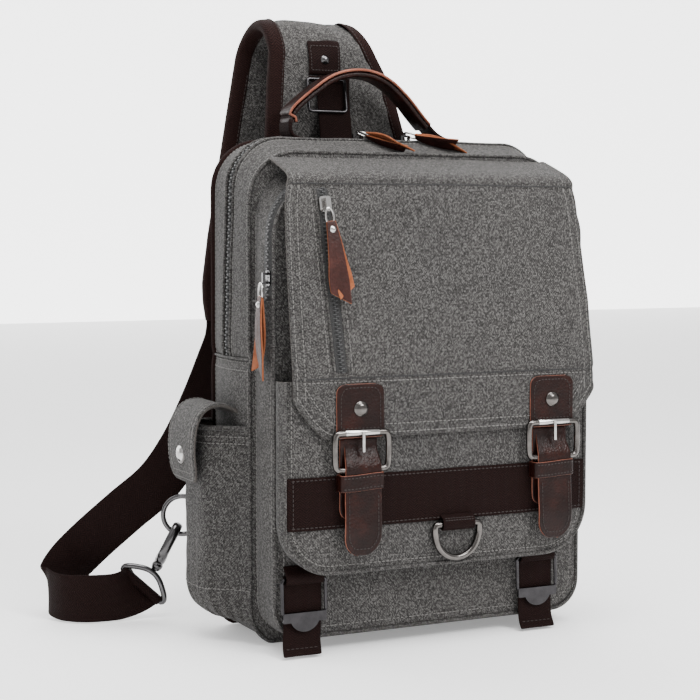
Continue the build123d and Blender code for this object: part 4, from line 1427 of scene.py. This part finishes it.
ringLoop = strip("ringLoop", [(0, -66.4, 95.5), (0, -69.6, 95.0), (0, -72.4, 92.4), (0, -73.2, 88.6), (0, -71.6, 85.2),
                              (0, -69.0, 84.6), (0, -66.8, 87)], 27, (9, 0, 0), "bag", "webbing", nodes=("ring_loop",))
loopTree = treeOf(ringLoop)
loopRows = [[Vector((x, -95, z)) for x in spread(-3, 21, 12)] for z in (93.6, 92.2)]
stitches("ringLoopStitching", loopRows, loopTree, (0, 1, 0), "bag", darkThread, pitch=2.2, long=1.8, slot="webbing")

locks = {"left": -107.5, "right": 88.0}
for side, x0 in locks.items():
    strip(side + "LockAnchor", [(0, -49.8, 65), (0, -51.5, 62), (0, -55.8, 59), (0, -56.4, 55.5), (0, -55.4, 52.4),
                                (0, -52.6, 51.8), (0, -50.0, 53.5)], 30, (x0, 0, 0), "bag", "webbing",
          nodes=("anchor_webbings",))
    lean = -5.0 if side == "left" else -4.0
    tail = strip(side + "LockTail", [(0, -50.0, 58), (0, -50.9, 44), (0.0, -50.9, 26), (lean * 0.2, -51.4, 19),
                                     (lean * 0.6, -55.5, 8), (lean, -62.0, 2.0)], 30, (x0, 0, 0), "bag", "webbing",
                 nodes=("tail_webbings",), wave=0.8)
    tree = treeOf(tail)
    rows = [[Vector((x0 + lean * 0.8 + x, -90, 6.5)) for x in spread(-12.5, 12.5, 12)]]
    stitches(side + "TailStitching", rows, tree, (0, 1, 0), "bag", darkThread, slot="webbing")
print("webbing loops")


# Top handle

handle = dict(y=40.0)
grip = smoothLine([(-77.5, 0, 385.0), (-79, 0, 393), (-62, 0, 407), (-42, 0, 421.5), (-18, 0, 425.5), (2, 0, 420),
                   (19, 0, 406), (32, 0, 391), (38, 0, 385.0)], 2.0)


def gripRows(low, high, half, sides=22, power=0.6):
    # A rounded band whose section is squashed between two heights off the line.
    rows = []
    ways = frames(grip)
    for p, t in zip(grip, ways):
        normal = Vector((-t.z, 0, t.x))
        if normal.z < 0 or (abs(normal.z) < 0.05 and p.x < -60 and normal.x > 0):
            normal = -normal
        row = []
        for k in range(sides):
            a = 2 * pi * k / sides
            c, s = cos(a), sin(a)
            y = half * abs(c) ** power * (1 if c > 0 else -1)
            h = (low + high) / 2 + (high - low) / 2 * abs(s) ** power * (1 if s > 0 else -1)
            h += 0.25 * wobble((p.x, y, p.z), 14, 3)
            row.append(p + normal * h + Vector((0, handle["y"] + y, 0)))
        rows.append(row)
    return rows


def outOfGrip(p):
    return p - min((Vector((g.x, handle["y"], g.z)) for g in grip), key=lambda g: (g - p).length)


under = skin("handleBand", gripRows(-3.4, 1.2, 10.0), [leather], outOfGrip, loop=True, smooth=1)
own(under, "handle", "leather", "handle_grip")
wrap = skin("handleLeather", gripRows(1.2, 3.3, 10.2, power=0.45), [leather], outOfGrip, loop=True, smooth=1)
own(wrap, "handle", "leather")
cutEdge = []
for p, t in zip(grip, frames(grip)):
    normal = Vector((-t.z, 0, t.x))
    if normal.z < 0 or (abs(normal.z) < 0.05 and p.x < -60 and normal.x > 0):
        normal = -normal
    cutEdge.append(p + normal * 2.4 + Vector((0, handle["y"] - 9.6, 0)))
own(tube("handleCutEdge", cutEdge, 1.0, [leatherEdge], sides=8), "handle", "leather")
handleTree = treeOf(under)
sewLine = [p + Vector((0, handle["y"] - 20, -0.6)) for p in grip]
stitches("handleStitching", [sewLine], handleTree, (0, 1, 0), "handle", darkThread,
         slot="leather")

ends = dict(left=[(-77.8, 0, 391), (-80.0, 0, 385), (-79.5, 0, 378), (-76, 0, 373.8), (-68, 0, 372.6)],
            right=[(35.0, 0, 390), (40.5, 0, 384), (47, 0, 378), (55, 0, 374.0), (64, 0, 372.6)])
for side, points in ends.items():
    wide = strip(side + "HandleEnd", points, 21, (0, handle["y"], 0), "bag", "webbing", across=(0, 1, 0), wall=3.0,
                 facing=(-0.7 if side == "left" else 0.7, 0, 0.7),
                 taper=lambda t: 0.92 + (0.06 if side == "left" else 0.35) * ease(t * 1.3 - 0.3))
    wide.parent = None
    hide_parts("handle_anchors")
    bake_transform(wide)
print("handle")


# Shoulder pad, its binding, patch and lifter

pad = dict(front=66.7, rear=112.0, arc=441.0)
padFrontLeft = [(350, -88), (372, -85), (417, -83), (441, -81.5), (475, -84)]
padFrontRight = [(350, 44), (372, 37), (417, 23), (441, 9), (475, -3)]
padRearLeft = [(232, -117), (248, -119.5), (262, -120), (300, -115), (352, -106), (393, -99), (444, -90), (475, -84)]
padRearRight = [(232, -80), (252, -73), (300, -54), (352, -37), (393, -26), (444, -14), (475, -3)]
padR = (pad["rear"] - pad["front"]) / 2
padLine = [(pad["front"], z) for z in spread(351, pad["arc"], 34)]
padLine += [(89.35 - padR * cos(a), pad["arc"] + padR * sin(a)) for a in spread(0, pi, 26)[1:-1]]
padLine += [(pad["rear"], z) for z in spread(pad["arc"], 232.5, 76)]
padLine = [Vector((0, y, z)) for y, z in padLine]
padWays = frames(padLine)


def padSides(p):
    # Left and right edges at a point of the pad's line.
    z = p.z
    if p.z > pad["arc"]:
        a = acos(max(-1.0, min(1.0, (89.35 - p.y) / padR)))
        z = pad["arc"] + (475 - pad["arc"]) * sin(a)
    if p.y < 89.35:
        return lookUp(padFrontLeft, z), lookUp(padFrontRight, z)
    return lookUp(padRearLeft, z), lookUp(padRearRight, z)


def padSpot(i, u, lift):
    # u runs from 0 at the left edge to 1 at the right, lift is outward from the middle layer.
    p, t = padLine[i], padWays[i]
    left, right = padSides(p)
    outward = Vector((0, -t.z, t.y))
    return Vector((left + (right - left) * u, p.y, p.z)) + outward * lift


def padSection(i, swell=1.0):
    left, right = padSides(padLine[i])
    width = right - left
    inset = 3.0 / width
    row = []
    for u in spread(inset, 1 - inset, 17):
        away = min(u, 1 - u) * width
        row.append(padSpot(i, u, (2.0 + 2.0 * ease(away / 16)) * swell))
    for u in spread(1 - inset, inset, 17):
        away = min(u, 1 - u) * width
        row.append(padSpot(i, u, -(2.0 + 2.0 * ease(away / 16)) * swell))
    return row


padRows = [[padSpot(0, 0.5, 0).lerp(p, share) for p in padSection(0, 0.8)] for share in (0.02, 0.6)]
padRows += [padSection(i) for i in range(len(padLine))]
last = len(padLine) - 1
padRows += [[padSpot(last, 0.5, 0).lerp(p, share) for p in padSection(last, 0.8)] for share in (0.6, 0.02)]


def outOfPad(p):
    near = min(padLine, key=lambda q: (q.y - p.y) ** 2 + (q.z - p.z) ** 2)
    return Vector((0, p.y - near.y, p.z - near.z))


padCloth = skin("strapPad", padRows, [canvasAround], outOfPad, loop=True, smooth=0)


def puffUp(piece, hold, cap, voxel=5.0, pressure=4.0, steps=20):
    # Fills the piece with air for a few steps, held where hold(point) is 1, and no point moves past cap.
    bpy.ops.object.select_all(action="DESELECT")
    bpy.context.view_layer.objects.active = piece
    piece.select_set(True)
    remesh = piece.modifiers.new("even", "REMESH")
    remesh.mode = "VOXEL"
    remesh.voxel_size = voxel * mm
    applyAll(piece)
    group = piece.vertex_groups.new(name="held")
    before = [v.co.copy() for v in piece.data.vertices]
    for v in piece.data.vertices:
        group.add([v.index], hold(v.co / mm), "REPLACE")
    cloth = piece.modifiers.new("cloth", "CLOTH")
    setting = cloth.settings
    setting.quality = 6
    setting.mass = 0.25
    setting.tension_stiffness = 30
    setting.compression_stiffness = 12
    setting.bending_stiffness = 1.5
    setting.shrink_min = -0.035
    setting.use_pressure = True
    setting.uniform_pressure_force = pressure
    setting.vertex_group_mass = "held"
    setting.effector_weights.gravity = 0
    cloth.point_cache.frame_start = 1
    cloth.point_cache.frame_end = steps
    scene = bpy.context.scene
    for step in range(1, steps + 1):
        scene.frame_set(step)
    applyAll(piece)
    scene.frame_set(1)
    for v, start in zip(piece.data.vertices, before):
        move = v.co - start
        if move.length > cap * mm:
            v.co = start + move.normalized() * cap * mm
    soft = piece.modifiers.new("round", "SUBSURF")
    soft.levels = soft.render_levels = 1
    applyAll(piece)
    piece.data.polygons.foreach_set("use_smooth", [True] * len(piece.data.polygons))


def heldPad(p):
    near = min(padLine, key=lambda q: (q.y - p.y) ** 2 + (q.z - p.z) ** 2)
    left, right = padSides(near)
    away = min(p.x - left, right - p.x)
    return 1.0 if away < 9 or p.z < 236 or (p.y < 80 and p.z < 356) else 0.0


puffUp(padCloth, heldPad, 2.2)
own(padCloth, "bag", "canvas", "strap_pad")
padTree = treeOf(padCloth)


def bindingRows(side):
    # A band folded over the pad's edge: outer face, edge, inner face.
    rows = []
    for i in range(len(padLine)):
        left, right = padSides(padLine[i])
        width = right - left
        row = []
        for away, lift in ((11.6, 4.7), (7.5, 4.6), (3.4, 4.2), (0.8, 3.2), (-0.2, 1.3), (-0.2, -1.3), (0.8, -3.2),
                           (3.4, -4.2), (7.5, -4.6), (11.6, -4.7)):
            u = away / width
            bump = 0.25 * wobble((away, i * 2.6, 0), 9, 2)
            row.append(padSpot(i, u if side == "Left" else 1 - u, lift + (bump if lift > 0 else -bump)))
        rows.append(row)
    return rows


for side in ("Left", "Right"):
    edge = skin("padBinding" + side, bindingRows(side), [bindingWeave],
                lambda p: outOfPad(p) + Vector(((-1 if side == "Left" else 1) * 0.3, 0, 0)),
                wall=1.1, outside=0, smooth=1)
    own(edge, "bag", "webbing", "pad_binding")
    tree = treeOf(edge)
    lines = []
    for sign in (1, -1):
        line = []
        for i in range(len(padLine)):
            left, right = padSides(padLine[i])
            u = 9.8 / (right - left)
            line.append(padSpot(i, u if side == "Left" else 1 - u, 6.5 * sign))
        lines.append(line)

    def padWay(p):
        return -outOfPad(p)
    stitches("padBindingStitching" + side, lines, tree, padWay, "bag", darkThread, slot="webbing")

patchX = (-51.5, -24.5)


def patchRow(i, lift):
    p, t = padLine[i], padWays[i]
    outward = Vector((0, -t.z, t.y))
    row = []
    for x in spread(patchX[0], patchX[1], 12):
        found = drop(padTree, Vector((x, p.y, p.z)) + outward * 12, -outward, 14, lift)
        base = found[0] if found else Vector((x, p.y, p.z)) + outward * 5
        row.append(Vector((x, base.y, base.z)))
    return row


patchRows = [patchRow(i, 1.5) for i in range(27, 37)]
foot = patchRows[0]
wrapBar = []
for dy, dz in ((-9.4, -2.4), (-8.8, 0.4), (-5.6, 2.6), (-1.5, 2.0)):
    wrapBar.append([Vector((p.x, 66.7 + dy, 421 + dz)) for p in foot])
patch = skin("strapPatch", wrapBar + patchRows, [webbing], (0, -1, 0.2), wall=1.4, outside=0, smooth=1)
own(patch, "bag", "webbing", "pad_patch")
patchTree = treeOf(patch)
ring = [Vector((x, 40, z)) for x, z in ((-49.5, 428), (-49.5, 447), (-26.5, 447), (-26.5, 428), (-49.5, 428))]
stitches("patchStitching", [ring], patchTree, (0, 1, 0), "bag", darkThread, slot="webbing", pitch=2.6, long=2.0)
spot = drop(patchTree, Vector((-38, 30, 436)), (0, 1, 0), 60)[0]
domedRivet("patchRivet", spot + Vector((0, 0.2, 0)), (0, -1, 0.1), 3.6, 1.8, "bag", "bright_nickel", darkNickel)
strip("lifterWebbing", [(0, 57.6, 424), (0, 59.2, 414), (0, 57.2, 398), (0, 54.2, 384), (0, 52.3, 371.5)], 28,
      (-31, 0, 0), "bag", "webbing", nodes=("lifter_webbing",), wave=0.5)


print("shoulder pad")


# Carrying strap down to the floor and back to the hook

eyeDrop = Vector((0.593, -0.289, 0.75)).normalized()
eyeBar = Vector((0.674, -0.329, -0.66)).normalized()
eyeAway = eyeBar.cross(eyeDrop).normalized()
swivel = Vector((-165, 107, 35))
eyeMiddle = swivel - eyeDrop * 14
strapStations = [
    ((-98.5, 112, 236), (-1, 0, 0)), ((-98.5, 112, 229), (-1, 0, 0)), ((-99, 112.1, 224), (-1, 0, 0.02)),
    ((-102, 114, 210), (-0.99, 0, 0.12)), ((-119, 117, 166), (-0.95, 0.1, 0.3)), ((-136, 120, 131), (-0.85, 0.2, 0.5)),
    ((-155, 124, 104), (-0.64, 0.27, 0.72)), ((-181, 132, 81), (-0.56, 0.25, 0.76)), ((-205, 142, 58), (-0.5, 0.2, 0.82)),
    ((-221, 150, 40), (-0.34, 0.05, 0.94)), ((-236, 146, 26), (-0.13, 0, 0.99)), ((-240, 135, 21.6), (-0.05, -0.04, 1)),
    ((-234, 120, 19.6), (-0.05, -0.03, 1)), ((-220, 109, 19.4), (0, 0, 1)), ((-200, 105, 19.4), (0, 0, 1)),
    ((-186, 108, 21.0), (-0.25, 0.1, 0.95))]
strapCentres = [Vector(p) for p, w in strapStations] + [eyeMiddle - eyeAway * 3.6]
strapAcross = [Vector(w).normalized() for p, w in strapStations] + [eyeBar * -1]


def between(values, t):
    # Smooth curve through a list of vectors.
    k = min(int(t), len(values) - 2)
    f = t - k
    a, b, c, d = (values[max(0, min(len(values) - 1, i))] for i in (k - 1, k, k + 1, k + 2))
    return 0.5 * ((2 * b) + (c - a) * f + (2 * a - 5 * b + 4 * c - d) * f * f + (3 * b - a - 3 * c + d) * f ** 3)


def strapRibbon():
    rows = []
    for i in range(190):
        t = (len(strapCentres) - 1) * i / 189
        centre, side = between(strapCentres, t), between(strapAcross, t).normalized()
        ahead = between(strapCentres, min(t + 0.05, len(strapCentres) - 1)) - between(strapCentres, max(0, t - 0.05))
        side = (side - ahead.normalized() * side.dot(ahead.normalized())).normalized()
        normal = side.cross(ahead).normalized()
        row = []
        for u in spread(-1, 1, 13):
            p = centre + side * (18.8 * u) + normal * (0.5 * wobble(centre + side * 9 * u, 24, 5) - 0.6 * u * u)
            row.append(Vector((p.x, p.y, max(p.z, 0.9))))
        rows.append(row)
    bar = eyeMiddle
    for a in spread(0.3, pi * 1.35, 9):
        centre = bar - eyeAway * 3.3 * cos(a) + eyeDrop * 3.3 * sin(a)
        rows.append([centre - eyeBar * (18.8 * u) for u in spread(-1, 1, 13)])
    return rows


ribbon = strapRibbon()
strapCloth = skin("strapWebbing", ribbon, [webbing], (-1, -0.4, 0.1), wall=1.7, outside=0, smooth=1)
own(strapCloth, "bag", "webbing", "strap_webbing")

hookAxis = Vector((0.414, -0.20, 0.888)).normalized()
hookSide = hookAxis.cross(Vector((0.636, -0.309, -0.707))).normalized()
hookFlat = hookAxis.cross(hookSide).normalized()
ringRight = Vector((0.899, -0.438, 0))
ringCentre = swivel + hookAxis * 36.6 + ringRight * 6.3 + Vector((0, 0, 13.6))
tabPoint = ringCentre + (ringRight * 0.94 - Vector((0, 0, 0.34))).normalized() * 15
tabAlong = (ringRight * 0.34 + Vector((0, 0, 0.94))).normalized()
tabRoot = Vector((-118, 61.5, 72))
tabWay = (tabPoint - tabRoot).normalized()
tabOut = tabWay.cross(tabAlong).normalized()
tabLine = [tabRoot + tabOut * 1.0, tabPoint - tabWay * 9 + tabOut * 1.1, tabPoint - tabWay * 3 + tabOut * 3.2,
           tabPoint + tabWay * 2.6 + tabOut * 2.4, tabPoint + tabWay * 3.4, tabPoint + tabWay * 2.6 - tabOut * 2.4,
           tabPoint - tabWay * 3 - tabOut * 3.2, tabPoint - tabWay * 9 - tabOut * 1.1, tabRoot - tabOut * 1.0]
strip("ringTab", tabLine, 17, (0, 0, 0), "bag", "webbing", across=tabAlong, facing=tabOut, nodes=("ring_tab",),
      wall=1.2, columns=9, step=1.4, wave=0.1)
print("carrying strap")


# Metal: every ring, frame and hook is one bent wire

wires = dict(frame=2.3, ring=2.5, eye=2.3, hook=2.6, strapRing=2.0)


def closedLine(points, step=1.2, passes=3):
    line = [Vector(p) for p in points]
    for _ in range(passes):
        cut = []
        for i, a in enumerate(line):
            b = line[(i + 1) % len(line)]
            cut += [a.lerp(b, 0.25), a.lerp(b, 0.75)]
        line = cut
    return resample(line, step, True)


def bentWire(name, points, radius, body, slot, finish, *nodes, closed=True, flatten=1.0, up=None):
    line = closedLine(points) if closed else smoothLine(points, 1.2)
    made = tube(name, line, radius, [finish], closed=closed, sides=14, flatten=flatten, up=up)
    return own(made, body, slot, *nodes)


for side, x0 in buckle["places"].items():
    corners = [(-17, 160.5), (17, 160.5), (20.2, 160.0), (21.2, 157), (21.4, 147), (21.0, 138), (20.0, 135),
               (17, 134.0), (-17, 134.0), (-20.0, 135), (-21.0, 138), (-21.4, 147), (-21.2, 157), (-20.2, 160.0)]
    bentWire(side + "BuckleFrame", [(x0 + x, -71.8, z) for x, z in corners], wires["frame"], side + "_buckle",
             "bright_nickel", agedNickel, side + "_buckle_frame")
dShape = [(-15, 89.0), (15, 89.0), (18.2, 88.6), (18.8, 85), (18.0, 78), (14.6, 70.5), (8.0, 65.2), (0, 63.4),
          (-8.0, 65.2), (-14.6, 70.5), (-18.0, 78), (-18.8, 85), (-18.2, 88.6)]
bentWire("frontRing", [(9 + x, -69.2, z) for x, z in dShape], wires["ring"], "front_ring", "dark_nickel", agedNickel,
         "front_ring")
ringUp = Vector((0, 0, 1))
loopRing = [ringCentre + ringRight * 15 * cos(2 * pi * k / 48) + ringUp * 15 * sin(2 * pi * k / 48) for k in range(48)]
bentWire("strapRing", loopRing, wires["strapRing"], "strap_ring", "dark_nickel", darkNickel, "strap_ring")
bar = eyeMiddle
eyeShape = [bar - eyeBar * 17, bar + eyeBar * 17, bar + eyeBar * 20.5 + eyeDrop * 0.6,
            bar + eyeBar * 20.5 + eyeDrop * 4, bar + eyeBar * 15 + eyeDrop * 8.5, swivel + eyeBar * 5 + eyeDrop * 0.2,
            swivel - eyeBar * 5 + eyeDrop * 0.2, bar - eyeBar * 15 + eyeDrop * 8.5, bar - eyeBar * 20.5 + eyeDrop * 4,
            bar - eyeBar * 20.5 + eyeDrop * 0.6]
bentWire("hookEye", eyeShape, wires["eye"], "bag", "dark_nickel", darkNickel, "hook_eye")


def inHook(across, along, flat=0.0):
    return swivel + hookSide * across + hookAxis * along + hookFlat * flat


hookLine = [inHook(0, 12), inHook(-3, 14), inHook(-7.0, 17.5), inHook(-7.6, 25), inHook(-7.4, 34), inHook(-6.0, 39.5),
            inHook(-2.5, 42.6), inHook(2.5, 42.6), inHook(6.0, 39.5), inHook(7.2, 34), inHook(7.2, 29.6)]
bentWire("hookWire", hookLine, wires["hook"], "hook", "dark_nickel", darkNickel, "hook", closed=False,
         flatten=1.5, up=hookFlat)
shellRows = []
for along, wide, deep in ((2.6, 0.4, 0.4), (2.8, 3.4, 3.4), (5.0, 3.8, 3.8), (5.6, 5.0, 4.4), (8.2, 5.4, 4.6),
                          (8.8, 4.0, 3.6), (10.0, 4.2, 3.8), (11.0, 7.6, 4.4), (14.5, 8.8, 4.4), (18.5, 8.6, 4.0),
                          (19.6, 7.0, 3.0), (19.8, 0.4, 0.4)):
    shellRows.append([inHook(wide * cos(2 * pi * k / 28), along, deep * sin(2 * pi * k / 28)) for k in range(28)])
hookShell = skin("hookShell", shellRows, [darkNickel], lambda p: p - inHook(0, 11), loop=True, smooth=1)
own(hookShell, "hook", "dark_nickel")
gateLine = [inHook(7.2, 18.0), inHook(7.4, 21), inHook(9.4, 23.6), inHook(9.2, 25.4), inHook(7.3, 27),
            inHook(7.2, 29.4)]
bentWire("hookGate", gateLine, 2.1, "hook_gate", "dark_nickel", darkNickel, "hook_gate", closed=False,
         flatten=1.5, up=hookFlat)

# Finishes of the carried-over metal and inner pieces

nodeFinish = dict(
    back_foam=foamCloth, base_board=boardSheet, snap_sockets=darkNickel, 
    left_buckle_tongue=brightNickel,
    right_buckle_tongue=brightNickel, left_closure_magnet=darkNickel, right_closure_magnet=darkNickel,
    flap_zip_slider=brightNickel, main_zip_left_slider=darkNickel, main_zip_right_slider=darkNickel,
    side_zip_slider=darkNickel, left_ladder_lock=blackNickel, right_ladder_lock=blackNickel, lifter_lock=blackNickel)
for name, finish in nodeFinish.items():
    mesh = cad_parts[name].data
    if mesh.materials:
        for i in range(len(mesh.materials)):
            mesh.materials[i] = finish
    else:
        mesh.materials.append(finish)
print("metal finished")


# Floor, light and camera

stage = dict(size=9.0, camera=(-0.5916, -1.1208, 0.3012), lookAt=(-0.045, 0.0, 0.214), lens=85.37, world=0.8,
             floorGlow=0.30, wallGlow=3.0)


def stagePlane(name, glow, **spot):
    bpy.ops.mesh.primitive_plane_add(**spot)
    sheet = bpy.context.object
    sheet.name = name
    made, tree, shader = newMaterial("pale" + name.capitalize())
    grain = grainOf(tree, place(tree, "object"), 3, 2)
    tree.links.new(ramp(tree, grain, [(0.3, (0.90,) * 3), (0.7, (0.92,) * 3)]), shader.inputs["Base Color"])
    shader.inputs["Roughness"].default_value = 0.9
    shader.inputs["Emission Color"].default_value = (1, 1, 1, 1)
    shader.inputs["Emission Strength"].default_value = glow
    sheet.data.materials.append(made)


def makeStage():
    stagePlane("floor", stage["floorGlow"], size=stage["size"], location=(0, 0, -0.0002))
    stagePlane("wall", stage["wallGlow"], size=stage["size"] * 1.4, location=(0, 4.4, 3), rotation=(pi / 2, 0, 0))


def areaLight(name, spot, aim, power, size):
    lamp = bpy.data.lights.new(name, "AREA")
    lamp.energy = power
    lamp.shape = "RECTANGLE"
    lamp.size, lamp.size_y = size
    holder = bpy.data.objects.new(name, lamp)
    bpy.context.scene.collection.objects.link(holder)
    holder.location = spot
    holder.rotation_euler = (Vector(aim) - Vector(spot)).to_track_quat("-Z", "Y").to_euler()


def makeLight():
    world = bpy.data.worlds.new("studio")
    bpy.context.scene.world = world
    world.use_nodes = True
    back = world.node_tree.nodes["Background"]
    back.inputs[0].default_value = (1, 1, 1, 1)
    back.inputs[1].default_value = stage["world"]
    areaLight("keyLight", (0.55, -1.35, 1.35), (0, 0, 0.27), 30, (0.8, 0.7))
    areaLight("topLight", (-0.1, -0.25, 1.3), (0, 0, 0.33), 20, (1.0, 0.7))
    areaLight("sideLight", (-1.7, -0.7, 1.0), (0, 0, 0.2), 3, (0.8, 1.4))


def makeCamera():
    lens = bpy.data.cameras.new("view")
    lens.lens = stage["lens"]
    lens.sensor_width = 36
    camera = bpy.data.objects.new("view", lens)
    bpy.context.scene.collection.objects.link(camera)
    camera.location = stage["camera"]
    camera.rotation_euler = (Vector(stage["lookAt"]) - Vector(stage["camera"])).to_track_quat("-Z", "Y").to_euler()
    bpy.context.scene.camera = camera


makeStage()
makeLight()
makeCamera()
